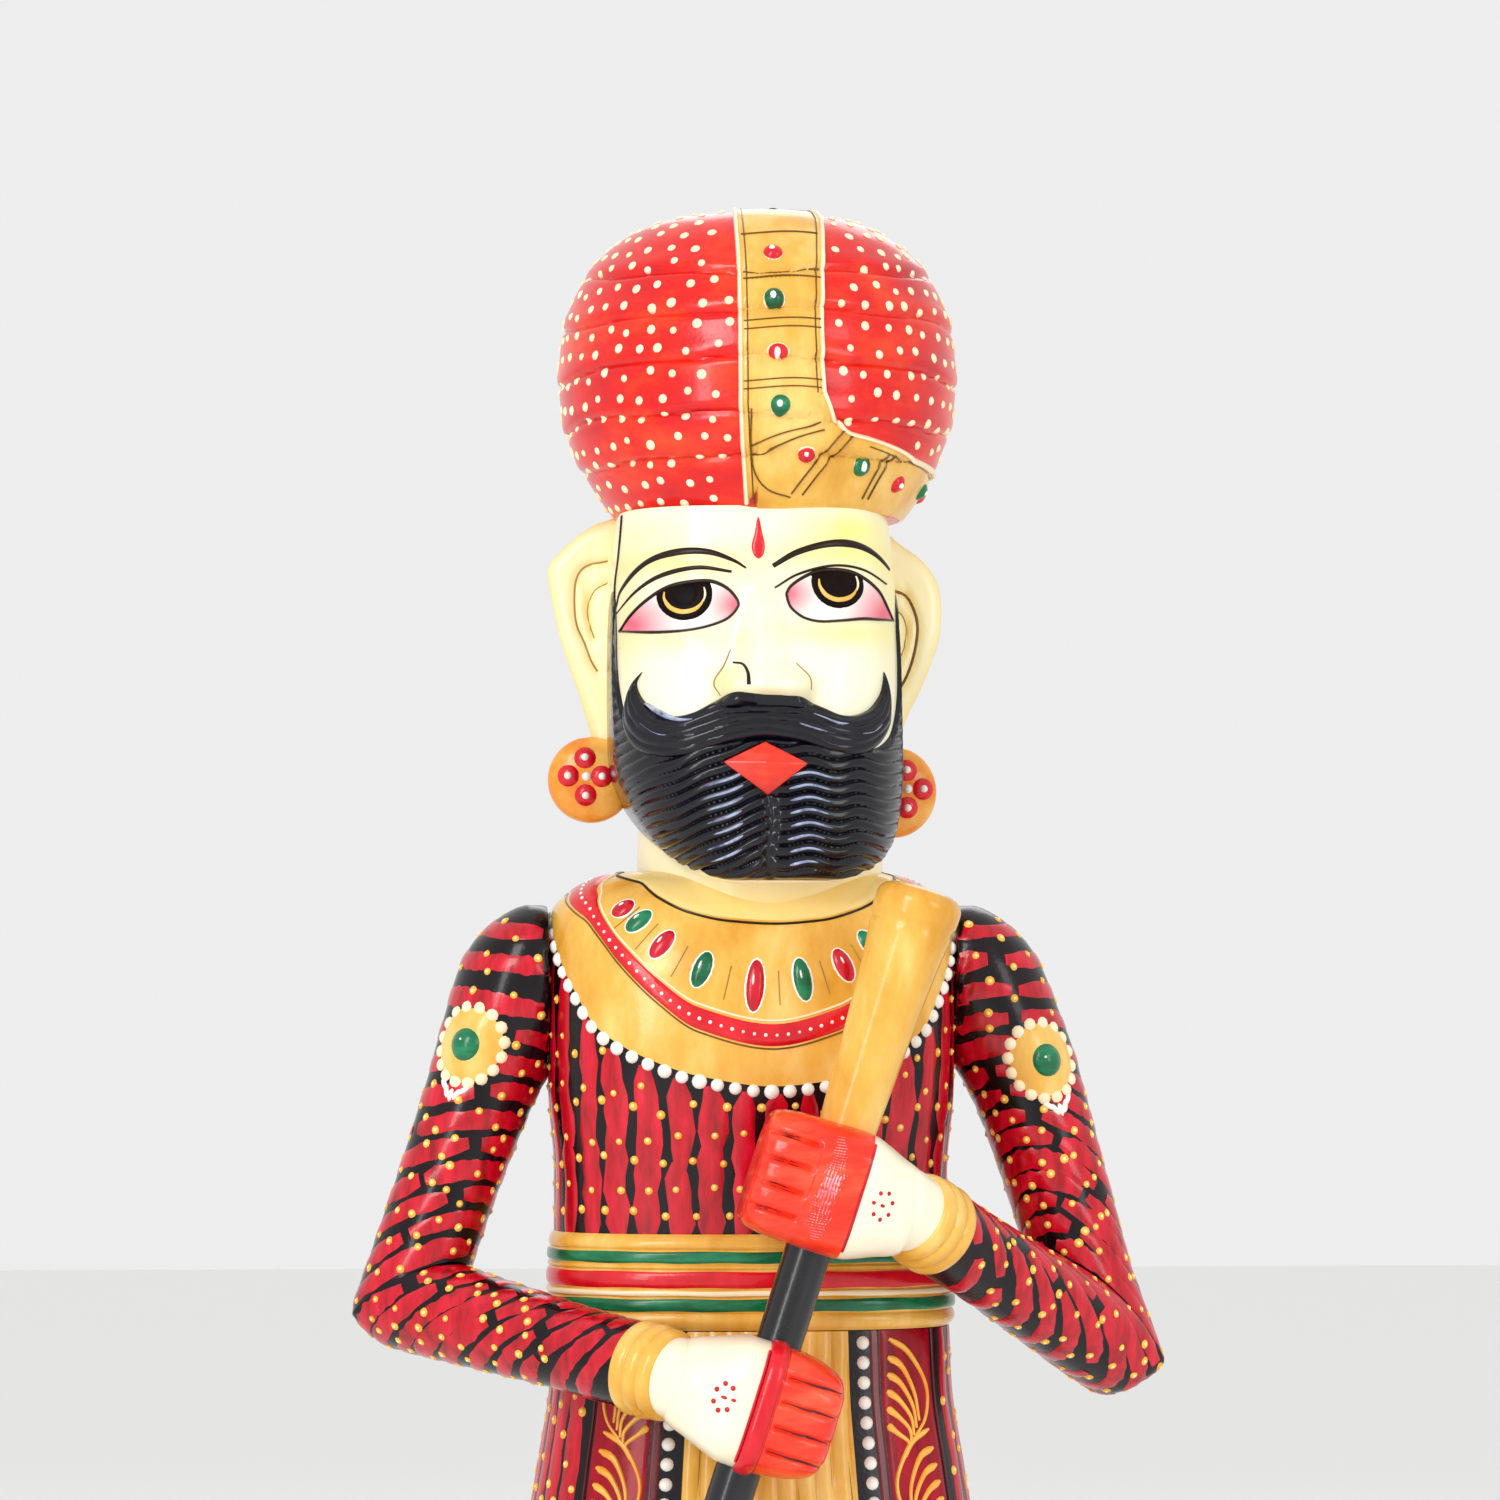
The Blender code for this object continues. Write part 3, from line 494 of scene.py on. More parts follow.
def line_distance(points, line):
    """How far each point is from a line through a few points."""
    a, b = line[:-1], line[1:]
    along = b - a
    t = ((points[:, None] - a) * along).sum(-1) / np.maximum((along ** 2).sum(-1), 1e-18)
    return np.linalg.norm(points[:, None] - (a + np.clip(t, 0, 1)[..., None] * along), axis=-1).min(1)


def edge_distance(points, outline):
    return line_distance(points, np.vstack([outline, outline[:1]]))


def inside_outline(point, outline):
    x, y = point
    inside = False
    for a, b in zip(outline, np.roll(outline, -1, axis=0)):
        if (a[1] > y) != (b[1] > y) and x < (b[0] - a[0]) * (y - a[1]) / (b[1] - a[1]) + a[0]:
            inside = not inside
    return inside


def within(point, outline, margin):
    return inside_outline(point, outline) and edge_distance(np.array([point]), outline)[0] > margin


# ---------------------------------------------------------------- paints
def tone(red, green, blue):
    """A display colour of 0 to 255 steps as the scene-linear colour of the shader."""
    return tuple((c / 255) ** 2.2 for c in (red, green, blue))


STREAK_RANGE = (0.32, 0.68)  # the part of the noise that the tones are spread over


def enamel(name, colours, roughness=0.25, coat=0.25, scale=(60, 60, 60), bump=0.12, fine=900.0, metallic=0.0,
           gloss=0.35):
    """Hand-brushed enamel: several tones in streaks, small brush relief and a coat of varnish."""
    material = bpy.data.materials.new(name)
    material.use_nodes = True
    tree = material.node_tree
    shader = tree.nodes["Principled BSDF"]

    def add(kind, **constants):
        """A new node, with constants on the inputs named with _ for a space."""
        node = tree.nodes.new(f"ShaderNode{kind}")
        fill(node, **constants)
        return node

    def fill(node, **constants):
        for socket, value in constants.items():
            node.inputs[socket.replace("_", " ")].default_value = value

    where = add("TexCoord").outputs["Object"]
    mapping = add("Mapping", Scale=scale)
    tree.links.new(where, mapping.inputs["Vector"])
    streaks = add("TexNoise", Scale=1.0, Detail=6.0, Roughness=0.6)
    tree.links.new(mapping.outputs["Vector"], streaks.inputs["Vector"])
    ramp = add("ValToRGB")
    first, last = ramp.color_ramp.elements
    first.position, last.position = STREAK_RANGE
    first.color, last.color = (*colours[0], 1), (*colours[-1], 1)
    for index, colour in enumerate(colours[1:-1]):
        share = (index + 1) / (len(colours) - 1)
        element = ramp.color_ramp.elements.new(float(np.interp(share, (0, 1), STREAK_RANGE)))
        element.color = (*colour, 1)
    shade = add("Attribute")
    shade.attribute_name = "shade"
    mix = add("Mix", Factor=1.0)
    mix.data_type = "RGBA"
    mix.blend_type = "MULTIPLY"
    mix_a, mix_b = [s for s in mix.inputs if s.type == "RGBA"]
    mixed = next(s for s in mix.outputs if s.type == "RGBA")
    grain = add("TexNoise", Scale=fine, Detail=3.0)
    both = add("Math")
    both.operation = "ADD"
    relief = add("Bump", Strength=bump, Distance=0.0006)
    rough = add("MapRange", To_Min=roughness * 0.7, To_Max=roughness * 1.3)
    for source, target in (
        (streaks.outputs["Fac"], ramp.inputs["Fac"]), (ramp.outputs["Color"], mix_a), (shade.outputs["Color"], mix_b),
        (mixed, shader.inputs["Base Color"]), (where, grain.inputs["Vector"]),
        (streaks.outputs["Fac"], both.inputs[0]), (grain.outputs["Fac"], both.inputs[1]),
        (both.outputs["Value"], relief.inputs["Height"]), (relief.outputs["Normal"], shader.inputs["Normal"]),
        (streaks.outputs["Fac"], rough.inputs["Value"]), (rough.outputs["Result"], shader.inputs["Roughness"]),
    ):
        tree.links.new(source, target)
    fill(shader, Metallic=metallic, Specular_IOR_Level=gloss, Coat_Weight=coat, Coat_Roughness=0.08)
    return material


PAINT = {
    "turban": enamel("turban_red", (tone(200, 4, 26), tone(226, 24, 14), tone(240, 70, 26)), scale=(34, 34, 60)),
    "cream": enamel("cream_drops", (tone(250, 226, 176), tone(255, 244, 212)), roughness=0.3, coat=0.2),
    "white": enamel("white_drops", (tone(240, 236, 226), tone(255, 253, 246)), roughness=0.28, coat=0.3),
    "gold": enamel("ochre_gold", (tone(218, 154, 50), tone(236, 180, 78), tone(248, 206, 118)), scale=(60, 60, 26)),
    "gold_dark": enamel("olive_line", (tone(90, 58, 12), tone(124, 84, 24)), scale=(90, 90, 90)),
    "face": enamel("face_cream", (tone(250, 241, 202), tone(255, 250, 224)),
        scale=(30, 30, 30), bump=0.05, roughness=0.3),
    "black": enamel("black_enamel", (tone(10, 6, 10), tone(30, 16, 24)), 0.22, 0.15, (90, 90, 35), gloss=0.25),
    "beard": enamel("beard_black", (tone(6, 6, 12), tone(20, 20, 32)), 0.2, 0.35, (60, 60, 200), gloss=0.25),
    # The bluish sheen strokes on the beard and moustache are painted highlights.
    "sheen": enamel("beard_sheen", (tone(112, 126, 168), tone(178, 192, 224), tone(70, 78, 110)),
        0.3, 0.3, (160, 160, 160)),
    "line": enamel("line_brown_black", (tone(24, 12, 8), tone(44, 26, 12)), 0.32, 0.1, gloss=0.25),
    "iris": enamel("iris_black", (tone(12, 6, 4), tone(30, 16, 8)), 0.5, 0.0, gloss=0.1),
    # A pale pink paint used as a painted highlight on the knuckles.
    "gloss": enamel("knuckle_painted_highlight", (tone(236, 84, 92), tone(250, 168, 176), tone(255, 206, 206)),
        scale=(120, 120, 120)),
    "fine": enamel("fine_olive_line", (tone(140, 110, 56), tone(170, 136, 76)), roughness=0.35, coat=0.1),
    "crimson": enamel("crimson", (tone(142, 0, 22), tone(192, 4, 34), tone(220, 22, 52)), scale=(260, 260, 50)),
    "red": enamel("bright_red", (tone(204, 12, 34), tone(230, 34, 46)), scale=(120, 120, 60)),
    "finger": enamel("finger_red", (tone(226, 34, 22), tone(244, 58, 34), tone(250, 92, 60)), scale=(34, 34, 120)),
    "green": enamel("green", (tone(2, 78, 46), tone(10, 112, 70), tone(34, 138, 96)), scale=(60, 60, 200)),
    "yellow": enamel("yellow_drops", (tone(238, 156, 34), tone(252, 202, 74)), roughness=0.3, coat=0.2),
    # Pale paint set on each yellow drop as a painted highlight.
    "pale": enamel("pale_drop_painted_highlights", (tone(255, 236, 150), tone(255, 248, 200)), roughness=0.3, coat=0.2),
    "panel": enamel("panel_red", (tone(112, 2, 20), tone(152, 8, 32), tone(176, 18, 40)),
        scale=(160, 160, 50), coat=0.15, gloss=0.2),
    "maroon": enamel("maroon", (tone(74, 6, 16), tone(116, 12, 28)), scale=(90, 90, 40)),
    "feather": enamel("feather_orange", (tone(240, 150, 34), tone(252, 196, 84)), roughness=0.28, coat=0.3),
    "orange": enamel("orange_gold", (tone(226, 110, 20), tone(238, 146, 44), tone(246, 186, 90)), scale=(60, 60, 60)),
    "lacquer": enamel("black_lacquer", (tone(6, 6, 10), tone(20, 20, 30)), 0.27, 0.3, (30, 30, 8), gloss=0.45),
    "bone": enamel("hand_cream", (tone(249, 240, 206), tone(255, 249, 224)), scale=(40, 40, 40), bump=0.05),
    "trouser": enamel("trouser_cream", (tone(232, 222, 196), tone(248, 242, 222)), scale=(40, 40, 90)),
}


# ---------------------------------------------------------------- coat: torso
TORSO_HIGH = 0.4096
TORSO = Block(((BELT_TOP, 0.0585, 0.0380, 0.0350),) + mm((
    (322, 58.5, 40, 36), (345, 60.3, 44.5, 39), (365, 60.5, 46, 40), (380, 60.5, 44.8, 40), (389, 60.5, 42, 39.5),
    (395, 60, 39.2, 38.8), (400, 58, 36.2, 37.8), (404, 53, 33, 36), (407, 47, 30, 34), (409, 41, 26, 30),
)) + ((TORSO_HIGH, 0.0372, 0.0235, 0.0270),))
COLLAR_HIGH = 0.4092
PEARLS_FRONT = mm((
    (-54.5, 376), (-47, 363.2), (-32.7, 354.4), (-18.3, 349.5), (3.5, 346.4), (21.3, 348.2), (35, 353.6),
    (48.7, 363.1), (55, 375.5),
))
PEARLS_AROUND = ((0.245, 0.3975), (0.33, 0.3890), (0.42, 0.3770), (0.5, 0.3720))
RING_FRONT = mm((
    (-49.2, 399.5), (-46.2, 394), (-41.2, 386.6), (-29.8, 374.8), (-18.3, 366.7), (3.5, 361.7), (22.6, 366.2),
    (34.5, 374.5), (45.5, 386.6), (50, 394), (52, 399),
))
RING_AROUND = ((0.245, 0.4072), (0.35, 0.4010), (0.42, 0.3930), (0.5, 0.3890))
RING_HALF = 0.0036
PEARL_PITCH = 0.0053


def line_round(surface, front, around):
    """z against turn for a line that runs across the front, over both shoulders and round the back."""
    rows = {float(surface.turn_at(x, z)): z for x, z in front}
    for u, z in around:
        rows[u] = z
        rows[-u] = z
    rows = sorted(rows.items())
    return lambda u: hermite(rows, 1, (np.asarray(u, float) + 0.5) % 1.0 - 0.5 + 1e-9)


def even_along(surface, line, spacing, start=-0.5, end=0.5):
    """Turns that put points at an even spacing along a line on the surface."""
    u = np.linspace(start, end, 1600)
    point = surface(u, line(u))
    run = run_along(point)
    count = max(2, int(round(run[-1] / spacing)))
    return np.interp((np.arange(count) + 0.5) / count * run[-1], run, u)


pearl_line = line_round(TORSO, PEARLS_FRONT, PEARLS_AROUND)
ring_line = line_round(TORSO, RING_FRONT, RING_AROUND)


NECK_FRONT = mm((
    (-34.5, 406.2), (-29, 401.5), (-21, 397.5), (-9, 394.8), (4.5, 394), (18, 395), (29, 398), (36.5, 402),
    (41, 406.6),
))
NECK_AROUND = ((0.245, 0.4092), (0.33, 0.4088), (0.42, 0.4050), (0.5, 0.4035))
neck_rise = line_round(TORSO, NECK_FRONT, NECK_AROUND)


def neck_line(u):
    """Where the coat's collar meets the neck, always inside the red ring."""
    return np.minimum(np.maximum(neck_rise(u), ring_line(u) + RING_HALF + 0.0014), COLLAR_HIGH)


def make_torso():
    place("torso_carving", block_mesh("torso_carving", TORSO, BELT_TOP, TORSO_HIGH, 300, 100), PAINT["black"],
          "body", "coat_paint", ("torso",))
    gold = gold_layer("collar_yoke", "gold")
    band(gold, TORSO, lambda u: pearl_line(u) + 0.0004, TORSO_HIGH - 0.0001, 361, 26, 0.0005)
    ring = gold_layer("collar_red_ring", "red")
    band(ring, TORSO, lambda u: ring_line(u) - RING_HALF, lambda u: np.minimum(ring_line(u) + RING_HALF, COLLAR_HIGH),
         361, 8, lambda u, v, s: 0.0006 + 0.0007 * dome(s))
    white = gold_layer("collar_white_dots", "white")
    for u in even_along(TORSO, ring_line, 0.0033):
        dot(white, TORSO, u, ring_line(u), 0.00085 * rng.uniform(0.85, 1.15), 0.0018, 8)
    for shift, half, paint in ((-RING_HALF - 0.0004, 0.00035, "gold_dark"), (RING_HALF + 0.0006, 0.00045, "cream")):
        line = gold_layer(f"collar_edge_{paint}", paint)
        u = np.linspace(-0.5, 0.5, 260)
        stroke(line, TORSO, pairs(u, np.minimum(ring_line(u) + shift, 0.4094)), half, 0.0009)
    pearls = gold_layer("collar_pearls", "white")
    for u in even_along(TORSO, pearl_line, PEARL_PITCH):
        dot(pearls, TORSO, u, pearl_line(u) - 0.0012, 0.0021 * rng.uniform(0.9, 1.08), 0.0016, 12)
    rim = gold_layer("collar_neck_line", "line")
    u = np.linspace(-0.5, 0.5, 220)
    stroke(rim, TORSO, pairs(u, neck_line(u)), 0.0005, 0.0010)
    # Cream tinted deep ochre between the collar's edge and the neck: the neck's darkened foot carried down, painted
    # shade.
    base = Layer.of("collar_neck_base", "body", "face_paint", "face")
    ochre = np.tile((0.95, 0.74, 0.36), (361 * 10, 1))
    band(base, TORSO, neck_line, TORSO_HIGH, 361, 10, 0.0007, tones=ochre)
    make_collar_gems()
    make_coat_strokes()


GEMS = (
    (-0.0395, 0.3985, "red", 0.7), (-0.0351, 0.3948, "green", 0.85), (-0.0285, 0.3880, "red", 0.95),
    (-0.0171, 0.3807, "green", 1.05), (-0.0017, 0.3760, "red", 1.45), (0.0122, 0.3778, "green", 1.2),
    (0.0243, 0.3820, "red", 1.0), (0.0325, 0.3880, "green", 0.95), (0.0392, 0.3940, "red", 0.8),
)


RAY_CENTRE_Z = 0.4300


def make_collar_gems():
    """Painted drops set round the collar, each outlined in white, with thin lines between."""
    lines = gold_layer("collar_rays", "fine")
    for x, z, colour, size in GEMS:
        u = float(TORSO.turn_at(x, z))
        lean = math.atan2(x - NECK_X, RAY_CENTRE_Z - z)
        white = gold_layer("collar_gem_outlines", "white")
        dot(white, TORSO, u, z, 0.0039, 0.0009, 16, 1.80 * size, lean)
        gem = gold_layer(f"collar_gems_{colour}", "crimson" if colour == "red" else "green")
        dot(gem, TORSO, u, z, 0.0030, 0.0015, 16, 2.0 * size, lean)
        glint = gold_layer("collar_gem_glints", "white")
        dot(glint, TORSO, u - 0.0016, z + 0.0012 * size, 0.00055, 0.0019, 8, 3.4 * size, lean)
    for (xa, za, *_), (xb, zb, *_) in zip(GEMS, GEMS[1:]):
        x, z = (xa + xb) / 2, (za + zb) / 2
        away = Vector((x - NECK_X, 0, z - RAY_CENTRE_Z)).normalized()
        path = [(x + away.x * k, z + away.z * k) for k in (-0.0035, 0.0, 0.0035, 0.0065)]
        path = [(float(TORSO.turn_at(px, pz)), pz) for px, pz in path if pz < 0.4000]
        if len(path) > 2:
            stroke(lines, TORSO, path, 0.00022, 0.0008)


def make_coat_strokes():
    """Crimson brush strokes down the coat on black, with yellow dots between them."""
    crimson = coat_layer("torso_crimson_strokes", "crimson")
    count = 34
    for k in range(count):
        u0 = (k + 0.5) / count - 0.5
        top = float(pearl_line(u0)) - 0.0018
        low = BELT_TOP - 0.0012
        cuts = [low, top] if rng.random() < 0.45 else [low, low + (top - low) * rng.uniform(0.35, 0.65), top]
        for a, b in zip(cuts, cuts[1:]):
            b = b + (0.002 if b < top else 0)
            z = np.linspace(a, b, max(6, int((b - a) / 0.004)))
            share = (z - a) / (b - a)
            drift = rng.uniform(-0.0025, 0.0025)
            phase = rng.uniform(0, 6)
            u = u0 + drift * share + 0.0018 * np.sin(z * 170 + phase)
            width = 0.0034 * rng.uniform(0.8, 1.2) * brush(share, 1.7, 0.06, 0.90, 0.6, 0.2)
            stroke(crimson, TORSO, pairs(u, z), width, 0.00028, 7, 0.24)
    scatter_dots(2 * count, BELT_TOP + 0.005, lambda u: pearl_line(u) - 0.0055, 0.0150)


def drop(drops, tops, surface, u, v, size, height=0.0006, shift=0.0002):
    """A yellow drop with a smaller pale one on top, a little above its middle: a painted highlight."""
    dot(drops, surface, u, v, size, height, 9)
    dot(tops, surface, u, v + shift, size * 0.55, height + 0.0002, 7)


def scatter_dots(columns, low, high, pitch):
    """Yellow drops with pale painted highlights on the torso, in staggered columns between the strokes."""
    drops = coat_layer("torso_dots", "yellow")
    tops = coat_layer("torso_dot_tops", "pale")
    for k in range(columns):
        u0 = k / columns - 0.5
        z = low + (pitch / 2 if k % 2 else 0) + rng.uniform(0, 0.002)
        limit = float(high(u0))
        while z < limit:
            u = u0 + rng.uniform(-0.25, 0.25) / columns
            drop(drops, tops, TORSO, u, z, 0.00126 * rng.uniform(0.85, 1.15))
            z += pitch * rng.uniform(0.9, 1.12)


# ---------------------------------------------------------------- belt
BELT_BANDS = (
    (0.157, "gold"), (0.162, "green"), (0.045, "gold"), (0.212, "red"), (0.073, "cream"), (0.172, "green"),
    (0.179, "gold"),
)


def belt_relief(u, z, point):
    """Each painted band of the belt is a rounded roll."""
    share = 1 - (z - BELT_LOW) / (BELT_TOP - BELT_LOW)
    height = np.zeros_like(share)
    start = 0.0
    for part, paint in BELT_BANDS:
        k = (share - start) / part * 2 - 1
        height = np.where(np.abs(k) < 1, 0.0010 * np.sqrt(np.maximum(1 - k * k, 0)) - 0.0004, height)
        start += part
    return height


BELT = Block((
    (BELT_LOW, 0.0590, 0.0395, 0.0365), (BELT_LOW + 0.003, 0.0603, 0.0410, 0.0378),
    (BELT_TOP - 0.004, 0.0598, 0.0408, 0.0376), (BELT_TOP, 0.0588, 0.0392, 0.0362),
), 0.0, 2.5, belt_relief)


def make_belt():
    place("belt_carving", block_mesh("belt_carving", BELT, BELT_LOW, BELT_TOP, 260, 90), PAINT["gold"],
          "body", "belt_paint", ("waist_belt",))
    start = 0.0
    for part, paint in BELT_BANDS:
        high = BELT_TOP - start * (BELT_TOP - BELT_LOW)
        low = high - part * (BELT_TOP - BELT_LOW)
        start += part
        if paint != "gold":
            layer = Layer.of(f"belt_{paint}_bands", "body", "belt_paint", paint)
            ease = 0.0006 if part > 0.1 else 0.0003
            wave = [rng.uniform(0, 6) for _ in range(2)]
            band(layer, BELT, lambda u: low + ease + 0.00012 * np.sin(u * 90 + wave[0]),
                 lambda u: high - ease + 0.00012 * np.sin(u * 70 + wave[1]), 261, 9, 0.00022)


# ---------------------------------------------------------------- skirt of the coat
SKIRT = Block(((HEM_Z, 0.0880, 0.0575, 0.0560),) + mm((
    (94, 87.5, 57.5, 56), (150, 77.5, 52, 50), (200, 69, 46.5, 44.5), (235, 63.2, 43, 40.5), (258, 59.7, 40.5, 37.5),
)) + ((SKIRT_TOP, 0.0590, 0.0390, 0.0360),))
PANEL_X = 0.0026
WAIST_Z = 0.255
PEARL_COLUMN = 0.0284
PANEL_PARTS = {"pleats": 0.0240, "maroon": (0.0305, 0.0332), "red": (0.0337, 0.0492), "edge": 0.0500, "feather": 0.0414}
HEM_BAND = 0.0125
LEAVES = 6
LEAF_PITCH = 0.0268
PLEAT_PITCH = 0.0052


def skirt_at(across, z):
    """Turn on the skirt for a place across the front panel, given at the waist; the panel flares below it."""
    return SKIRT.turn_at(PANEL_X + np.asarray(across, float) + 0 * np.asarray(z), WAIST_Z)


def make_skirt():
    place("coat_skirt_carving", block_mesh("coat_skirt_carving", SKIRT, HEM_Z, SKIRT_TOP, 300, 120), PAINT["black"],
          "body", "coat_paint", ("coat_skirt",))
    low, high = HEM_Z + HEM_BAND, BELT_LOW - 0.0003
    pleats = gold_layer("skirt_gold_pleats", "gold")
    wide = PANEL_PARTS["pleats"]
    pitch = float(skirt_at(PLEAT_PITCH, 0) - skirt_at(0, 0))
    band(pleats, SKIRT, low, high, 201, 40,
         lambda u, v, s: 0.0005 + 0.0009 * np.abs(np.sin(math.pi * u / pitch + 0.5 * np.sin(v * 60))) ** 0.7,
         float(skirt_at(-wide, 0)), float(skirt_at(wide, 0)))
    folds = gold_layer("skirt_pleat_lines", "gold_dark")
    for k in range(-8, 9):
        z = np.linspace(low + 0.001, high, 30)[:int(30 - 10 * rng.random())]
        across = k * 0.0028 + 0.0005 * np.sin(z * 60 + k) + rng.uniform(-0.0004, 0.0004)
        stroke(folds, SKIRT, pairs(skirt_at(across, z), z), np.linspace(0.0006, 0.0002, len(z)), 0.0013)
    for sign in (-1, 1):
        paint_panel(sign, low, high)
    make_skirt_back(low, high)
    make_hem()


def paint_panel(sign, low, high):
    """One side of the coat's front: a column of pearls, a maroon strip and a red strip of curling leaves."""
    pearls = coat_layer("skirt_pearls", "white")
    z = low + 0.003
    while z < high - 0.002:
        dot(pearls, SKIRT, float(skirt_at(sign * PEARL_COLUMN, z)), z, 0.0020, 0.0016, 12)
        z += 0.0058
    for name, paint, columns in (("maroon", "maroon", 9), ("red", "panel", 25)):
        layer = coat_layer(f"skirt_{name}_strips", paint)
        ends = sorted(float(skirt_at(sign * a, 0)) for a in PANEL_PARTS[name])
        band(layer, SKIRT, low, high, columns, 90, 0.0003, *ends)
    line = coat_layer("skirt_panel_lines", "maroon")
    z = np.linspace(low, high, 50)
    stroke(line, SKIRT, pairs(skirt_at(sign * PANEL_PARTS["edge"], z), z), 0.0004, 0.0005)
    for index in range(LEAVES):
        top = high - 0.0030 - index * LEAF_PITCH
        make_leaf(sign, PANEL_PARTS["feather"], top, 1 if index % 2 == 0 else -1, low)


def make_leaf(sign, middle, top, face, low):
    """A bowed stem with plump-headed strokes that fall beside it; face is the side it bows to."""
    paint = coat_layer("skirt_leaves", "feather")
    stem = ((-5.2, 0.5), (0.3, -3.0), (4.9, -10.4), (6.2, -16.5), (4.6, -23.3), (0.6, -28.6), (-2.7, -34.0))
    lines = [(stem, 26, 1.05)]
    for k in range(1, 6):
        x, z = -5.4 - 0.30 * k, -4.9 * k
        end = (3.9 - 1.1 * k, -21.5 - 2.1 * k)
        knee = (x + 4.6 - 0.35 * k, z - 2.6)
        lines.append(((((x, z), knee, ((knee[0] + end[0]) / 2 + 1.5, (knee[1] + end[1]) / 2), end)), 16, 1.25))
    for points, count, plump in lines:
        path = curve_through(mm(points), count)
        z = top + path[:, 1]
        keep = z > low + 0.001
        if keep.sum() < 4:
            continue
        share = np.linspace(0, 1, count)
        width = 0.001 * plump * np.interp(share, (0, 0.05, 0.14, 0.35, 1), (0.50, 1.0, 0.95, 0.68, 0.42))
        u = skirt_at(sign * (middle + face * path[:, 0]), z)
        stroke(paint, SKIRT, pairs(u, z)[keep], width[keep], 0.0009)


def make_skirt_back(low, high):
    """Crimson strokes and yellow drops on black, round the rest of the skirt."""
    crimson = coat_layer("skirt_crimson_strokes", "crimson")
    start = float(skirt_at(0.0512, 0)) + 0.004
    end = 1 + float(skirt_at(-0.0512, 0)) - 0.004
    count = 32
    for k in range(count):
        u0 = start + (end - start) * (k + 0.5) / count
        shift = [0, rng.uniform(-0.012, 0.012), rng.uniform(-0.012, 0.012), 0]
        cuts = np.linspace(low + 0.001, high, 4) + np.array(shift)
        for a, b in zip(cuts, cuts[1:]):
            z = np.linspace(a, b + 0.002 if b < high else b, 16)
            share = (z - a) / (z[-1] - a)
            u = u0 + rng.uniform(-0.0015, 0.0015) * share + 0.0009 * np.sin(z * 210 + rng.uniform(0, 6))
            flare = 1.30 - 0.42 * (z - low) / (high - low)
            width = 0.0029 * flare * rng.uniform(0.85, 1.1) * brush(share, 1.35, 0.10, 0.84, 0.5, 0.2)
            stroke(crimson, SKIRT, pairs(u, z), width, 0.00028, 7, 0.15)
    drops = coat_layer("skirt_dots", "yellow")
    # Each yellow drop gets a pale painted highlight.
    tops = coat_layer("skirt_dot_tops", "pale")
    for k in range(2 * count):
        u0 = start + (end - start) * (k + 0.5) / count / 2
        z = low + 0.005 + (0.0105 if k % 2 else 0) + rng.uniform(0, 0.003)
        while z < high - 0.004:
            drop(drops, tops, SKIRT, u0, z, 0.00145 * rng.uniform(0.85, 1.15))
            z += 0.0215 * rng.uniform(0.9, 1.1)


def make_hem():
    """A gold band along the hem with a red line, green drops and a row of pearls."""
    gold = gold_layer("hem_band", "gold")
    band(gold, SKIRT, HEM_Z + 0.0002, HEM_Z + HEM_BAND, 361, 12, 0.0007)
    red = gold_layer("hem_red_line", "red")
    band(red, SKIRT, HEM_Z + 0.0022, HEM_Z + 0.0050, 361, 5, 0.0012)
    green = gold_layer("hem_green_drops", "green")
    white = gold_layer("hem_pearls", "white")
    line = lambda u: HEM_Z + HEM_BAND - 0.0001 + 0 * np.asarray(u)
    for u in even_along(SKIRT, line, 0.0056):
        dot(white, SKIRT, u, float(line(u)), 0.0019, 0.0017, 10)
    for u in even_along(SKIRT, line, 0.0092):
        dot(green, SKIRT, u, HEM_Z + 0.0081, 0.0018, 0.0014, 10, 0.75)


# ---------------------------------------------------------------- arms
SHOULDER_RADII = mm((
    (-19.3, 1.2), (-18.8, 5.2), (-17, 10), (-13, 14.9), (-7, 18.4), (0, 19.5), (20, 17.6),
))
TORSO_GAP = 0.0609
UPPER_ARM_BOW = mm(((-20, 0), (0, 1.2), (30, 4.4), (60, 3), (95, 0)))
ARM_BOW = {"right": 0.3, "left": 1.0}
FOREARM_END = 0.0128


def arm_points(side):
    sign = SIDES[side]
    shoulder = Vector(JOINTS[f"{side}_arm_swing"]["pos_m"])
    elbow = Vector((-0.1023, -0.002, 0.2829)) if side == "right" else Vector((0.1066, -0.002, 0.2700))
    low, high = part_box(f"fist_{side}")
    fist = (low + high) / 2
    wrist = fist + HAND_AXIS * (0.0265 * sign) + Vector((0, 0.004, 0))
    return shoulder, elbow, wrist, fist


def arm_limbs(side):
    shoulder, elbow, wrist, _ = arm_points(side)
    upper, lower = (elbow - shoulder).normalized(), (wrist - elbow).normalized()
    fold, outer = (upper + lower).normalized(), (upper - lower).normalized()
    reach = (elbow - shoulder).length
    radii = SHOULDER_RADII + ((0.36 * reach, 0.0160), (0.72 * reach, ELBOW_RADIUS), (reach + 0.03, ELBOW_RADIUS))
    bow = [(t, SIDES[side] * x * ARM_BOW[side]) for t, x in UPPER_ARM_BOW]
    first = Limb(shoulder, elbow, radii, elbow, fold, outer, 1.0, SIDES[side] * TORSO_GAP, bow)
    reach = (wrist - elbow).length
    radii = ((-0.03, ELBOW_RADIUS), (0.0, ELBOW_RADIUS), (0.33 * reach, 0.0138), (0.70 * reach, 0.0126),
             (reach - 0.006, FOREARM_END), (reach + 0.006, 0.0110))
    second = Limb(elbow, wrist, radii, elbow, fold, outer, -1.0)
    return first, second


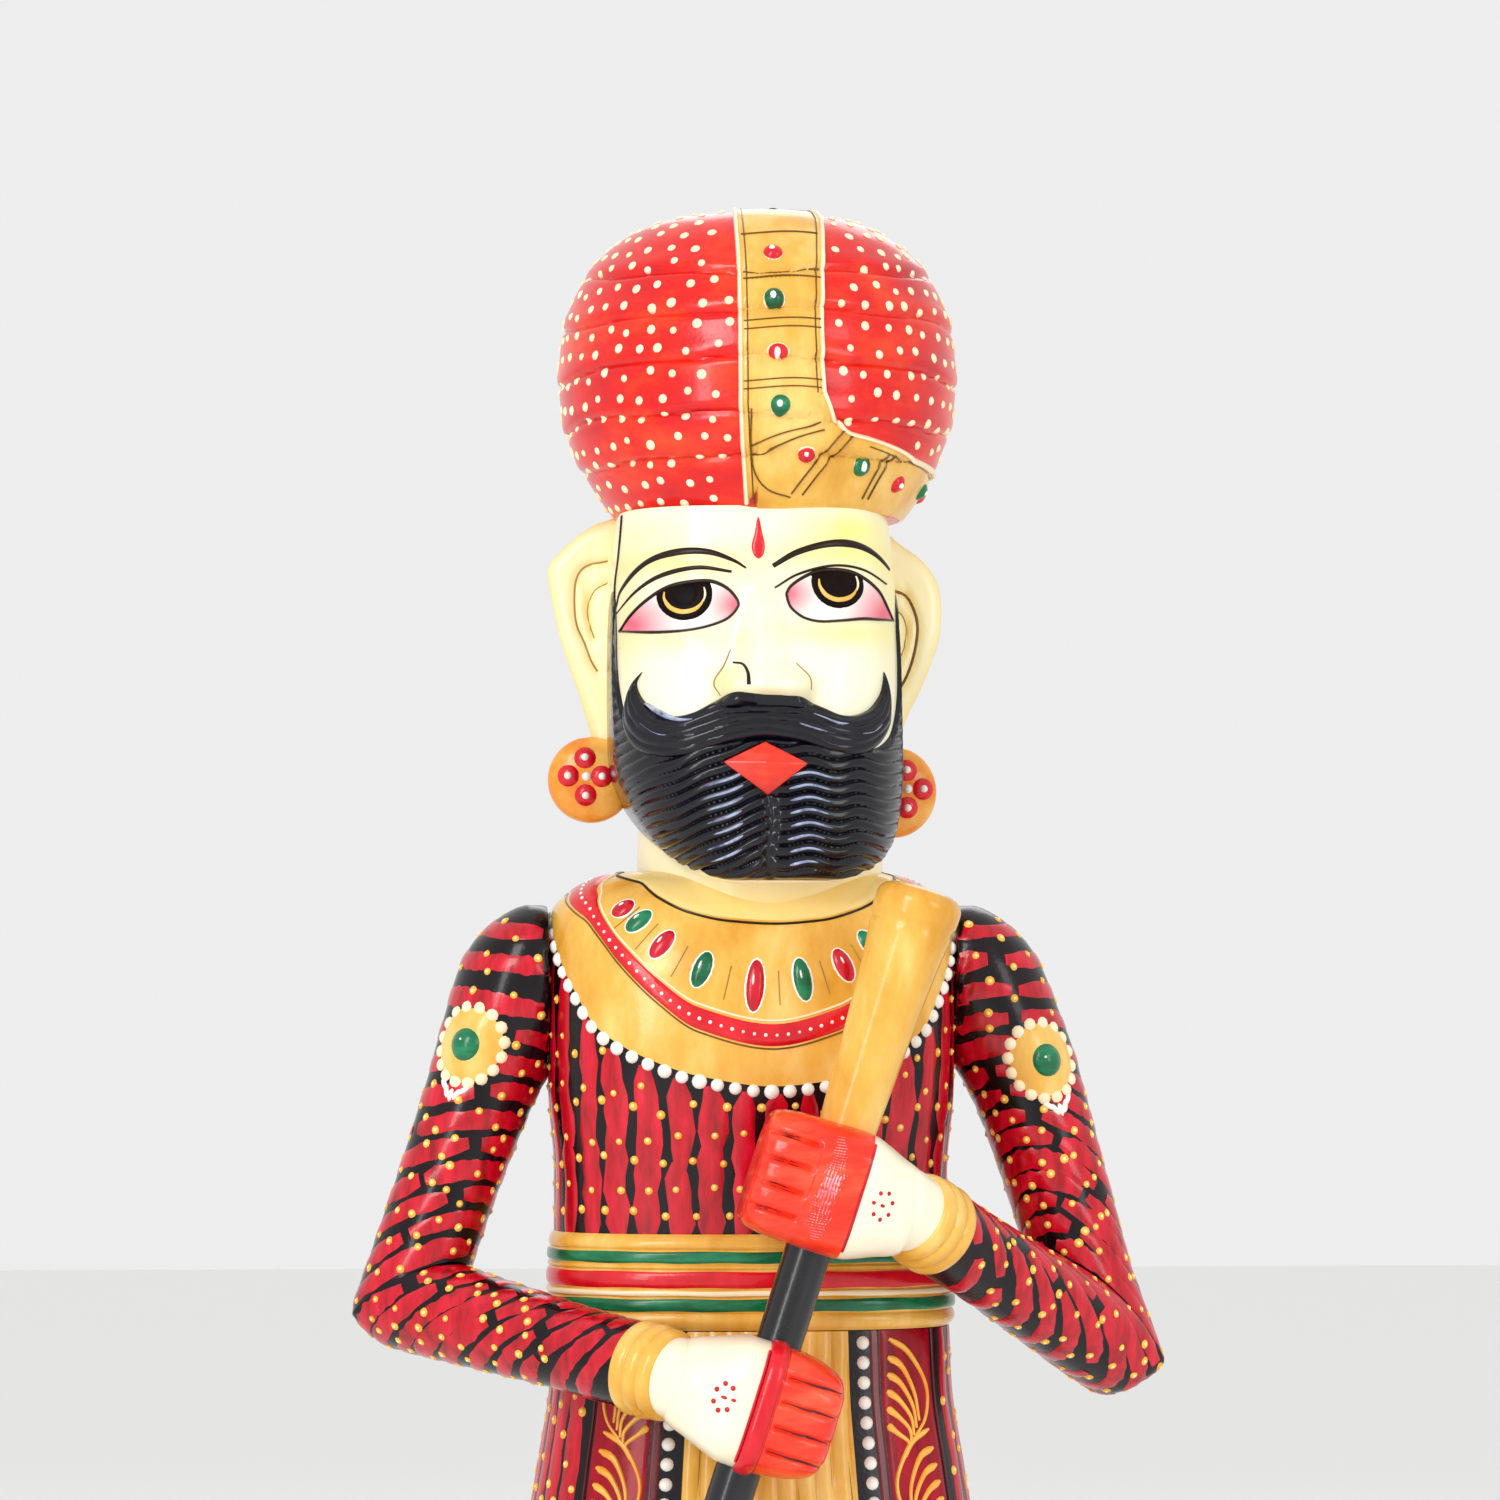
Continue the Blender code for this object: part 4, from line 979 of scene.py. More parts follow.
def make_arm(side):
    body = f"{side}_arm"
    first, second = arm_limbs(side)
    u = np.linspace(0, 1, 72, endpoint=False)[None, :]
    near = np.linspace(-0.0193, 0.012, 40)
    far = np.linspace(0.013, first.length + 0.022, 70)
    grid = first(u, np.concatenate([near, far])[:, None])
    carve(f"upper_arm_{side}", "carving", grid, "black", body, "sleeve_paint")
    grid = second(u, np.linspace(-0.022, second.length, 80)[:, None])
    carve(f"forearm_{side}", "carving", grid, "black", body, "sleeve_paint")
    paint_sleeve(side, body, first, second)
    make_armlet(side, body, first)
    make_cuff(side, body, second)


def paint_sleeve(side, body, first, second):
    """Crimson strokes across the sleeve, which fan out at the elbow, with yellow drops between."""
    crimson = Layer.of(f"sleeve_{side}_crimson", body, "sleeve_paint", "crimson")
    drops = Layer.of(f"sleeve_{side}_dots", body, "sleeve_paint", "yellow")
    # The pale paint on each drop is a painted highlight.
    tops = Layer.of(f"sleeve_{side}_dot_tops", body, "sleeve_paint", "pale")
    sign = SIDES[side]
    for limb, pitch, slant, smile in ((first, 0.0092, 0.0, 0.0022), (second, 0.0098, 0.0070, 0.0)):
        upper = limb is first
        count = int(limb.length / pitch) + (2 if upper else 0)

        def along(u, share):
            """Distance along the limb for a share of the way, which follows the elbow's mitre."""
            fold = limb.fold_at(u)
            eased = smoothstep(0, 0.5, share if not upper else 1 - share)
            bend = (slant * sign * np.sin(2 * math.pi * u) + smile * np.cos(2 * math.pi * u)) * eased
            if upper:
                return -0.0175 + (fold - 0.0010 + 0.0175) * share + bend
            return fold + 0.0010 + (limb.length - 0.0135 - fold) * share + bend

        for k in range(count):
            level = (k + 0.5) / count
            begin = rng.uniform(-0.56, -0.46)
            while begin < 0.44:
                end = begin + rng.uniform(0.34, 0.62)
                u = np.linspace(begin, min(end, 0.54), 17)
                share = np.linspace(0, 1, 17)
                t = along(u, level) + rng.uniform(-0.0006, 0.0006)
                width = 0.0029 * rng.uniform(0.85, 1.12) * brush(share, 1.5, 0.05, 0.9, 0.5, 0.15)
                stroke(crimson, limb, pairs(u, t), width, 0.00028, 7, 0.18)
                begin = end + rng.uniform(0.015, 0.05)
        for k in range(2 * count):
            for j in range(7):
                u = (j + (0.5 if k % 2 else 0)) / 7 + rng.uniform(-0.03, 0.03)
                level = (k + 0.5) / (2 * count)
                t = float(along(u, level)) + rng.uniform(-0.0008, 0.0008)
                spot = limb(u, t)
                if abs(spot[0]) < TORSO_GAP + 0.0012 or (upper and near_armlet(side, spot)):
                    continue
                drop(drops, tops, limb, u, t, 0.0013 * rng.uniform(0.85, 1.15), 0.0005, 0)


ARMLETS = {"right": (-0.0848, 0.3586), "left": (0.0868, 0.3540)}
ARMLET_RADIUS = 0.0112
SLEEVE_RADIUS = 0.0175  # under the armlet


def near_armlet(side, spot):
    x, z = ARMLETS[side]
    return spot[1] < 0 and math.hypot(spot[0] - x, spot[2] - z) < ARMLET_RADIUS + 0.003


def armlet_place(side, limb):
    """The sleeve's (u, t) nearest the armlet's centre."""
    x, z = ARMLETS[side]
    u, t = np.meshgrid(np.linspace(-0.24, 0.24, 97), np.linspace(0, 0.05, 101))
    spot = limb(u, t)
    best = np.argmin((spot[..., 0] - x) ** 2 + (spot[..., 2] - z) ** 2 + (spot[..., 1] > 0))
    return u.ravel()[best], t.ravel()[best]


def make_armlet(side, body, limb):
    """A gold rosette with a green cabochon and a painted highlight on it, a ring of cream beads and a tassel of white
    drops.
    """
    u, t = armlet_place(side, limb)
    names = ("gold", "cream", "green", "white")
    layers = {name: Layer.of(f"armlet_{side}_{name}", body, "gold_paint", name) for name in names}
    around = 2 * math.pi * SLEEVE_RADIUS
    for k in range(16):
        a = 2 * math.pi * k / 16
        dot(layers["cream"], limb, u + ARMLET_RADIUS * math.sin(a) / around, t + ARMLET_RADIUS * math.cos(a),
            0.0020, 0.0011, 9)
    dot(layers["gold"], limb, u, t, ARMLET_RADIUS, 0.0016, 28, sink=0.0012)
    dot(layers["cream"], limb, u, t, 0.0062, 0.0021, 22, 1.10, sink=0.0012)
    dot(layers["green"], limb, u, t, 0.0051, 0.0034, 22, 1.12, sink=0.0012)
    # A white dot on the green cabochon: a painted highlight.
    dot(layers["white"], limb, u + 0.008, t - 0.0012, 0.0009, 0.0035, 8, sink=-0.002)
    for k in range(-2, 3):
        fall = t + ARMLET_RADIUS + 0.0042 - 0.0006 * k * k
        dot(layers["white"], limb, u + 0.017 * k, fall, 0.0009, 0.0009, 8, 2.4, 0.35 * k)


CUFF_LENGTH = 0.0125
WRIST = mm(((0, 11.6), (4, 11.9), (10, 11.7), (14, 10.2), (16.3, 7), (17, 1.5)))


def make_cuff(side, body, limb):
    """A gold cuff of three rolls, and the cream wrist that comes out of it."""
    start = limb.length - CUFF_LENGTH
    t = np.linspace(start, limb.length + 0.0015, 60)
    share = (t - t[0]) / (t[-1] - t[0])
    roll = 0.0003 + 0.0008 * np.abs(np.sin(share * math.pi * 3)) ** 0.7
    roll[0] = roll[-1] = 0
    u = np.linspace(0, 1, 72, endpoint=False)
    base = limb(u[None, :], t[:, None])
    axis = limb.start + limb.along * t[:, None]
    out = base - axis[:, None, :]
    grid = base + out / np.linalg.norm(out, axis=-1, keepdims=True) * roll[:, None, None]
    place(f"cuff_{side}", tube_mesh("cuff", grid), PAINT["gold"], body, "gold_paint")
    t = np.linspace(0, WRIST[-1][0], 30)[:, None]
    angle = u[None, :] + 0 * t
    grid = limb.start + limb.along * (limb.length + t)[..., None] + limb.ring(angle) * hermite(WRIST, 1, t)[..., None]
    place(f"wrist_{side}", tube_mesh("wrist", grid), PAINT["bone"], body, "hand_paint")
    thin = Layer.of(f"cuff_{side}_lines", body, "gold_paint", "gold_dark")
    for k in (1, 2):
        ring = np.linspace(-0.5, 0.5, 60)
        stroke(thin, limb, pairs(ring, np.full(60, start + 0.0155 * k / 3)), 0.00035, 0.0006)


# ---------------------------------------------------------------- fists
FISTS = {
    # figure's side: knuckle line, width of the knuckle band, and rows in mm of (place along the hand, half height,
    # half depth)
    "left": (-0.0066, 0.014, mm((
        (-22.2, 14, 13), (-21.6, 15.8, 15.6), (-19.5, 17.2, 18), (-14, 18.2, 19.4), (3, 18.7, 20),
        (8.5, 18.4, 19.7), (13, 17, 18.4), (18.5, 14.8, 15.6), (22.5, 13.4, 13.8), (24.8, 12, 12.2),
        (26.4, 8.6, 9), (27.2, 1.5, 1.5),
    ))),
    "right": (-0.003, 0.0058, mm((
        (-21.5, 10, 12), (-20.8, 12.6, 15), (-18, 15.4, 17.8), (-11, 17.6, 19.3), (0, 18.8, 20),
        (7, 18.6, 19.6), (13, 16.8, 18), (19, 14.6, 15.4), (22.5, 13.4, 13.8), (24.8, 12, 12.2), (26.4, 8.6, 9),
        (27.2, 1.5, 1.5),
    ))),
}
FINGER_GROOVES = (-0.0108, -0.0037, 0.0037, 0.0108)
BORE_HALF = 0.0088


class Fist:
    """A closed hand as a surface of (u, h): u in turns round it from the front, h along the hand, wrist at +h."""

    def __init__(self, centre, side):
        self.centre = np.array(centre)
        self.hand = np.array(HAND_AXIS) * SIDES[side]
        self.staff = np.array(STAFF_AXIS)
        self.knuckle, self.knuckle_width, self.rows = FISTS[side]
        self.angle = np.linspace(-math.pi, math.pi, 1441)
        corner = pairs(signed_power(np.sin(self.angle), 2 / 3), signed_power(np.cos(self.angle), 2 / 3))
        run = run_along(corner)
        self.run = run / run[-1] - 0.5

    @staticmethod
    def power(h):
        return 3.6 - 1.5 * smoothstep(0.006, 0.022, h)

    def __call__(self, u, h):
        u, h = spread(u, h)
        theta = np.interp((u + 0.5) % 1.0 - 0.5, self.run, self.angle)
        rise = hermite(self.rows, 1, h) * signed_power(np.sin(theta), 2 / self.power(h))
        front = signed_power(np.cos(theta), 2 / self.power(h))
        flat = np.minimum(np.abs(front) * 1.6, 1)
        fingers = smoothstep(self.knuckle + 0.0005, self.knuckle - 0.0020, h)
        groove = sum(bell(rise - place, 0.0010) for place in FINGER_GROOVES)
        swell = bell(h - self.knuckle - self.knuckle_width / 2, self.knuckle_width * 0.6)
        depth = hermite(self.rows, 2, h) * front
        depth = depth + np.sign(front) * flat * (0.0008 * swell - 0.0017 * groove * fingers)
        point = self.centre + self.hand * h[..., None] + self.staff * rise[..., None]
        point[..., 1] -= depth
        return point

    def chart(self, h, s):
        """(u, h) on the front for a place h along the hand and s along the staff."""
        h = np.asarray(h, float)
        share = np.clip(s / hermite(self.rows, 1, h), -0.98, 0.98)
        theta = np.arcsin(signed_power(share, self.power(h) / 2))
        return np.interp(theta, self.angle, self.run), h


def cut_bore(obj, centre, radius, half):
    """Cuts the staff's way through a fist."""
    bm = bmesh.new()
    bmesh.ops.create_cone(bm, cap_ends=True, segments=48, radius1=radius, radius2=radius, depth=2 * half)
    turn = Vector((0, 0, 1)).rotation_difference(STAFF_AXIS).to_matrix().to_4x4()
    bmesh.ops.transform(bm, matrix=Matrix.Translation(centre) @ turn, verts=bm.verts)
    mesh = bpy.data.meshes.new("bore")
    bm.to_mesh(mesh)
    bm.free()
    cutter = bpy.data.objects.new("bore", mesh)
    bpy.context.scene.collection.objects.link(cutter)
    change = obj.modifiers.new("bore", "BOOLEAN")
    change.operation = "DIFFERENCE"
    change.solver = "EXACT"
    change.object = cutter
    done = bpy.data.meshes.new_from_object(obj.evaluated_get(bpy.context.evaluated_depsgraph_get()))
    obj.modifiers.remove(change)
    obj.data = done
    bpy.data.objects.remove(cutter)


def make_fist(side):
    body = f"{side}_arm"
    *_, centre = arm_points(side)
    fist = Fist(centre, side)
    knuckle, across = fist.knuckle, fist.knuckle_width
    tip, wrist = fist.rows[0][0], fist.rows[-1][0]
    u = np.linspace(-0.5, 0.5, 200, endpoint=False)[None, :]
    h = np.linspace(tip, wrist, 130)[:, None]
    painted = np.broadcast_to(h < knuckle + across, (len(h), u.shape[1]))[..., None]
    tones = np.where(painted, np.array((0.93, 0.055, 0.030)), 1.0)
    obj = carve(f"fist_{side}", "carving", fist(u, h), "bone", body, "hand_paint", tones)
    cut_bore(obj, centre, 0.0075, 0.03)
    fingers = Layer.of(f"fist_{side}_fingers", body, "hand_paint", "finger")
    parts = ((-0.19, 0.19, knuckle), (0.31, 0.69, knuckle), (0.19, 0.31, -BORE_HALF), (-0.31, -0.19, -BORE_HALF))
    for start, end, stop in parts:
        band(fingers, fist, tip + 0.0001, stop, int(300 * (end - start)), 60, 0.0003, start, end, rim=1.0)
    inlay_tip(fingers, fist, tip)
    knuckles = Layer.of(f"fist_{side}_knuckles", body, "hand_paint", "red" if side == "right" else "finger")
    band(knuckles, fist, knuckle + 0.0004, knuckle + across, 120, 16,
         lambda u, v, s: 0.0003 + 0.0010 * dome(s), -0.20, 0.20)
    # Maroon lines down the grooves between the fingers: painted shade in the creases.
    finger_groove_shade = Layer.of(f"fist_{side}_grooves", body, "hand_paint", "maroon")
    for at in FINGER_GROOVES:
        h = np.linspace(tip + 0.0012, knuckle - 0.0012, 24)
        u, h = fist.chart(h, np.full(24, at) + 0.0002 * np.sin(h * 700))
        width = np.interp(np.linspace(0, 1, 24), (0, 0.35, 1), (0.0004, 0.0009, 0.0003))
        stroke(finger_groove_shade, fist, pairs(u, h), width, 0.0006)
    u, h = fist.chart(np.full(40, knuckle + across + 0.0003), np.linspace(-0.0160, 0.0160, 40))
    stroke(Layer.of(f"fist_{side}_edge", body, "hand_paint", "crimson"), fist, pairs(u, h), 0.0005, 0.0009)
    # A pale streak across the left fist's knuckles: a painted highlight.
    if side == "left":
        s = np.linspace(-0.0148, 0.0150, 40)
        u, h = fist.chart(knuckle + 0.0050 + 0.0007 * np.sin(s * 260), s)
        width = 0.0032 * np.interp(s, (-0.0148, -0.010, 0.006, 0.0150), (0.3, 1.0, 0.85, 0.3))
        stroke(Layer.of("fist_left_gloss", body, "hand_paint", "gloss"), fist, pairs(u, h), width, 0.0016, 7, 0.25)
    flower = Layer.of(f"fist_{side}_flower", body, "hand_paint", "crimson")
    middle = {"left": 0.0148, "right": 0.0118}[side]
    for k in range(7):
        a = 2 * math.pi * k / 7 + 0.4
        u, h = fist.chart(middle + 0.0028 * math.cos(a), 0.0040 * math.sin(a))
        dot(flower, fist, float(u), float(h), 0.0008, 0.0005, 8)
    u, h = fist.chart(middle, 0.0)
    dot(flower, fist, float(u), float(h), 0.0010, 0.0005, 8)


def inlay_tip(layer, fist, tip):
    """Paint over the fingers' blunt end."""
    ring = fist(np.linspace(-0.5, 0.5, 120, endpoint=False), np.full(120, tip + 0.0002))
    middle = ring.mean(0)
    push = -np.array(fist.hand) * 0.0004
    ring = middle + (ring - middle) * 1.015
    inner = middle + (ring - middle) * 0.5
    count = len(ring)
    verts = np.vstack([
        ring + push, inner + push * 2.2, [middle + push * 2.6], ring - push, inner - push, [middle - push],
    ])
    faces = []
    for k in range(count):
        after = (k + 1) % count
        base = 2 * count + 1
        faces.append((k, after, count + after, count + k))
        faces.append((count + k, count + after, 2 * count))
        faces.append((base + k, base + count + k, base + count + after, base + after))
        faces.append((base + count + k, base + 2 * count, base + count + after))
        faces.append((k, base + k, base + after, after))
    layer.add(verts, faces)


# ---------------------------------------------------------------- staff
def lathe_along(name, start, axis, profile, segments=56):
    """A turned piece: profile rows are (distance along the axis, radius)."""
    side = axis.orthogonal().normalized()
    other = axis.cross(side)
    angle = turns(segments)
    rings = []
    for t, radius in profile:
        centre = np.array(start + axis * t)
        out = np.cos(angle)[:, None] * np.array(side) + np.sin(angle)[:, None] * np.array(other)
        rings.append(centre + radius * out)
    return tube_mesh(name, np.stack(rings))


def smooth_profile(rows, count):
    t = np.linspace(rows[0][0], rows[-1][0], count)
    return list(zip(t, hermite(rows, 1, t)))


STAFF_TOP = Vector((0.0455, -0.068, 0.4045))
STAFF_HEAD = mm((
    (0, 0.4), (0.2, 6), (0.8, 8.8), (2.2, 11.4), (5, 12.7), (9, 12.6), (12.2, 11.7), (13.5, 12.1), (15.5, 11.8),
    (30, 10.5), (74, 8.4),
))


def make_staff():
    head = lathe_along("staff_head_turned", STAFF_TOP, -STAFF_AXIS, smooth_profile(STAFF_HEAD, 90))
    place("staff_head_turned", head, PAINT["gold"], "staff", "gold_paint", ("staff_head",))
    top = STAFF_TOP - STAFF_AXIS * 0.0665
    foot = (top.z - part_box("staff_shaft")[0].z) / STAFF_AXIS.z - 0.0022
    rows = ((0.0, 0.0066), (0.02, 0.0067), (foot - 0.004, 0.0067), (foot - 0.0015, 0.0062), (foot, 0.0035))
    shaft = lathe_along("staff_shaft_turned", top, -STAFF_AXIS, smooth_profile(rows, 160))
    place("staff_shaft_turned", shaft, PAINT["lacquer"], "staff", "black_lacquer", ("staff_shaft",))


# ---------------------------------------------------------------- head
FACE_X = 0.0010
NOSE = mm((
    (455, 0, 9), (457.8, 0.4, 9), (459.6, 6, 9.2), (461.5, 8.4, 9), (464, 8.2, 8), (470, 6.4, 6.6),
    (480, 4.4, 5.6), (488, 2.8, 5.2), (495, 0.8, 5.6), (500, 0, 6),
))
EYES = {"right": (-0.0236, 0.4868), "left": (0.0235, 0.4905)}
HEAD_HIGH = 0.5168


def face_relief(u, z, point):
    """Nose, eyeballs in shallow sockets, brows and cheeks, in metres above the plain block."""
    x = point[..., 0] - FACE_X
    facing = smoothstep(0.012, 0.030, -point[..., 1])
    height = hermite(NOSE, 1, z) * np.exp(-(np.abs(x) / hermite(NOSE, 2, z)) ** 2.4)
    for sign in (-1, 1):
        wing = ((x - sign * 0.0098) / 0.0040) ** 2 + ((z - 0.4632) / 0.0042) ** 2
        height = height + 0.0034 * np.exp(-wing ** 1.4)
        cheek = ((x - sign * 0.0245) / 0.0150) ** 2 + ((z - 0.4690) / 0.0110) ** 2
        height = height + 0.0014 * np.exp(-cheek)
    for eye_x, eye_z in EYES.values():
        ball = ((point[..., 0] - eye_x) / 0.0165) ** 2 + ((z - eye_z) / 0.0088) ** 2
        socket = ((point[..., 0] - eye_x) / 0.0200) ** 2 + ((z - eye_z - 0.001) / 0.0135) ** 2
        height = height + 0.0026 * np.exp(-ball ** 1.5) - 0.0014 * np.exp(-socket ** 2)
        brow = 0.0135 - 0.006 * ((point[..., 0] - eye_x) / 0.02) ** 2
        near = smoothstep(0.023, 0.015, np.abs(point[..., 0] - eye_x))
        height = height + 0.0011 * bell(z - eye_z - brow, 0.0034) * near
    return height * facing


HEAD_LOW = 0.4062
HEAD = Block(((HEAD_LOW, 0.0150, 0.0470, -0.0330, 0.0062),) + mm((
    (408.5, 22.5, 50, -10, 6), (411, 26.2, 51.5, 10, 6.8), (415, 32, 52.5, 30, 6.2), (420, 36.2, 53.2, 37, 5),
    (425, 38.8, 53.5, 40, 3.8), (432, 41.2, 53.2, 41.5, 2.4), (440, 43, 52.8, 42.5, 1.2), (455, 43.4, 51, 43.5, 0.7),
    (470, 43.4, 48, 44, 0.5), (490, 42.9, 45.5, 45, 0.4), (508, 41.7, 43.5, 45, 0.3),
)) + ((HEAD_HIGH, 0.0404, 0.0426, 0.0446, 0.0003),), 0.0, 2.7, face_relief)


def on_face(x, z):
    return HEAD.turn_at(x, z), z


def face_stroke(layer, points, widths, height=0.0002, count=40):
    """A tapered line through a few (x, z) points of the face; widths run along it."""
    path = curve_through(points, count)
    share = np.linspace(0, 1, count)
    knots = np.linspace(0, 1, len(widths))
    u, z = on_face(path[:, 0], path[:, 1])
    stroke(layer, HEAD, pairs(u, z), np.interp(share, knots, widths), height, 5)


# The face's own yellow and pink washes, with painted shade: the olive and ochre ones under the nose, beside the
# nostrils, down the face's sides and under the turban's rim.
FACE_WASHES_AND_SHADE = (
    # x, z, reach across and reach up in mm, then tint and share
    (-24, 500, 20, 4.5, (1, 0.88, 0.42), 0.85),
    (23, 503, 20, 5, (1, 0.9, 0.4), 0.9),
    (25.5, 510.5, 13, 5, (0.93, 0.98, 0.28), 0.8),
    (-30, 508.5, 14, 6, (0.97, 0.95, 0.62), 0.6),
    (-25, 477, 17, 3.5, (0.98, 0.93, 0.5), 0.6),
    (25, 479.5, 17, 4, (0.98, 0.93, 0.42), 0.75),
    (1.2, 480, 2.2, 16, (1, 0.86, 0.84), 0.55),
    (-11.5, 464, 4.2, 4.6, (0.8, 0.76, 0.44), 0.8),
    (-6, 474.5, 3.5, 6, (0.95, 0.9, 0.66), 0.6),
    (12.5, 463.2, 4, 3.6, (0.88, 0.84, 0.62), 0.5),
    (-39.5, 490, 4.5, 20, (0.98, 0.84, 0.52), 0.75),
    (40, 495, 5, 22, (0.98, 0.92, 0.45), 0.75),
    (1, 460, 9, 2.2, (0.78, 0.72, 0.5), 0.75),
    (0, 519, 40, 3, (0.98, 0.84, 0.55), 0.55),
    (-38, 470, 3, 10, (1, 0.9, 0.82), 0.6),
    (-34.5, 483, 5, 6, (1, 0.86, 0.78), 0.45),
)


def head_tones(point):
    """The cream face's tints: its own washes of yellow and pink, painted shade in olive and ochre under the nose,
    beside the nostrils, down the face's sides and under the turban, and a warmer, darker tone towards the sides and
    back of the head.
    """
    tones = np.ones(point.shape)
    front = smoothstep(0.0, 0.025, -point[..., 1])
    for *sizes, tint, share in FACE_WASHES_AND_SHADE:
        x, z, across, up = mm(tuple(sizes))
        amount = share * front * np.exp(-((point[..., 0] - x) / across) ** 2 - ((point[..., 2] - z) / up) ** 2)
        tones = tones * (1 - amount[..., None] * (1 - np.array(tint)))
    # Warmer and darker towards the sides and back of the head.
    side = smoothstep(-0.028, 0.010, point[..., 1])[..., None]
    return tones * (1 - side * (1 - np.array((0.98, 0.90, 0.70))))


def make_head():
    u = np.linspace(0, 1, 460, endpoint=False)
    u = u + 0.062 * np.sin(2 * math.pi * u) * -1
    z = np.concatenate([np.linspace(HEAD_LOW, 0.452, 60, endpoint=False), np.linspace(0.452, HEAD_HIGH, 190)])
    grid = HEAD(u[None, :], z[:, None])
    carve("head", "carving", grid, "face", "head", "face_paint", head_tones(grid))
    angle = turns(96)
    rows = ((NECK_LOW.z, NECK_RADIUS - 0.0003), (0.394, NECK_RADIUS - 0.0002), (0.402, NECK_RADIUS - 0.0008),
            (0.408, NECK_RADIUS - 0.0006), (0.4250, NECK_RADIUS - 0.0010))
    z = np.linspace(NECK_LOW.z, 0.4250, 44)
    radius = hermite(rows, 1, z)[:, None]
    grid = np.stack([NECK_X + radius * np.sin(angle), -radius * np.cos(angle), z[:, None] + 0 * angle], -1)
    # A light ochre tint all over is the neck's own tone; the deeper ochre towards its foot under the beard is painted
    # shade.
    shade_at_neck_foot = smoothstep(0.4120, 0.3980, grid[..., 2])[..., None]
    tones = 1 - (1 - np.array((0.95, 0.78, 0.42))) * (0.35 + 0.65 * shade_at_neck_foot)
    carve("neck", "turned", grid, "face", "head", "face_paint", tones)
    make_eyes()
    make_brows_and_lines()
    make_moustache()
    make_beard()
    make_hair()
    for side in SIDES:
        make_ear(side)
        make_earring(side)


# upper lid from the outer to the inner corner, then the lower lid back again
EYE_LIDS = {
    "right": mm(((
        (-40.3, 480.8), (-37.2, 484.8), (-32.5, 489), (-27, 492.6), (-20.8, 494.1), (-14.5, 494.3),
        (-9.8, 492.2), (-7, 489), (-6.5, 487.2),
    ), (
        (-7.8, 485.1), (-10.6, 482.8), (-16.1, 480.8), (-22.4, 479.7), (-29.4, 479.5), (-35.6, 480),
    ))),
    "left": mm(((
        (40.9, 484.4), (37.9, 488.7), (34.6, 493), (28.7, 496.9), (23.1, 498), (17.5, 497.6), (12.8, 495.7),
        (8.9, 493), (7.4, 490.6),
    ), (
        (8, 488), (9.4, 485.9), (12.8, 483.6), (17.5, 482.6), (23.9, 483), (30.2, 483.8), (35.9, 484),
    ))),
}
IRISES = {"right": (-0.0218, 0.4904), "left": (0.0225, 0.4942)}
IRIS_RADIUS = 0.0080


def clip_polygon(subject, region):
    """The part of a convex outline that lies inside a region outline, point by point along rays."""
    centre = np.mean(subject, axis=0)
    kept = []
    for x, y in subject:
        share = 1.0
        while share > 0.05 and not inside_outline(centre + (np.array((x, y)) - centre) * share, region):
            share -= 0.02
        kept.append(tuple(centre + (np.array((x, y)) - centre) * share))
    return kept


def make_eyes():
    for side, (upper, lower_lid) in EYE_LIDS.items():
        line = curve_through(upper + lower_lid, 90, closed=True)
        outer, inner = upper[0], upper[-1]

        def tint(x, z):
            """White, washed with pink towards both corners under the lid."""
            away = np.hypot(x - outer[0], (z - outer[1]) * 1.3)
            near = np.hypot(x - inner[0], (z - inner[1]) * 1.3)
            pink = np.clip(1.35 - away / 0.0135, 0, 1) + np.clip(1.1 - near / 0.0095, 0, 0.9)
            lower = smoothstep(min(outer[1], inner[1]) - 0.0060, outer[1] + 0.0015, z)
            pink = np.clip(pink * (0.35 + 0.65 * lower), 0, 1)[:, None]
            return 1 - pink * (1 - np.array((0.90, 0.12, 0.22)))

        inlay(face_layer("eye_whites", "white"), HEAD, line, 0.00018, 0.0009, tint=tint, chart=on_face)
        x, z = IRISES[side]
        angle = turns(48)
        disc = [(x + IRIS_RADIUS * math.cos(a), z + IRIS_RADIUS * math.sin(a)) for a in angle]
        disc = clip_polygon(disc, line)
        inlay(face_layer("eye_irises", "iris"), HEAD, disc, 0.00045, 0.0009, chart=on_face)
        pupil = [(x + 0.0042 * math.cos(a), z + 0.0042 * math.sin(a)) for a in angle]
        pupil = clip_polygon(pupil, line)
        inlay(face_layer("eye_pupils", "iris"), HEAD, pupil, 0.00062, 0.0009, chart=on_face)
        below = np.radians((172, 195, 228, 262, 296, 322, 344))
        arc = [(x + 0.0056 * math.cos(a), z + 0.0053 * math.sin(a)) for a in below]
        face_stroke(face_layer("eye_rings", "gold"), arc, (0.0004, 0.0009, 0.0010, 0.0009, 0.0004), 0.0007)
        arc = [(x + 0.0057 * math.cos(a), z + 0.0055 * math.sin(a)) for a in np.radians((335, 350, 5, 20))]
        arc = [p for p in arc if inside_outline(p, line)]
        face_stroke(face_layer("eye_glints", "cream"), arc, (0.0003, 0.0005, 0.0003), 0.0008)
        rim = face_layer("eye_outlines", "line")
        face_stroke(rim, upper, (0.0004, 0.0006, 0.0007, 0.0006, 0.0004), 0.0006, 60)
        face_stroke(rim, upper[-1:] + lower_lid + upper[:1], (0.0004, 0.0004, 0.0004, 0.0005, 0.0003), 0.0006, 60)


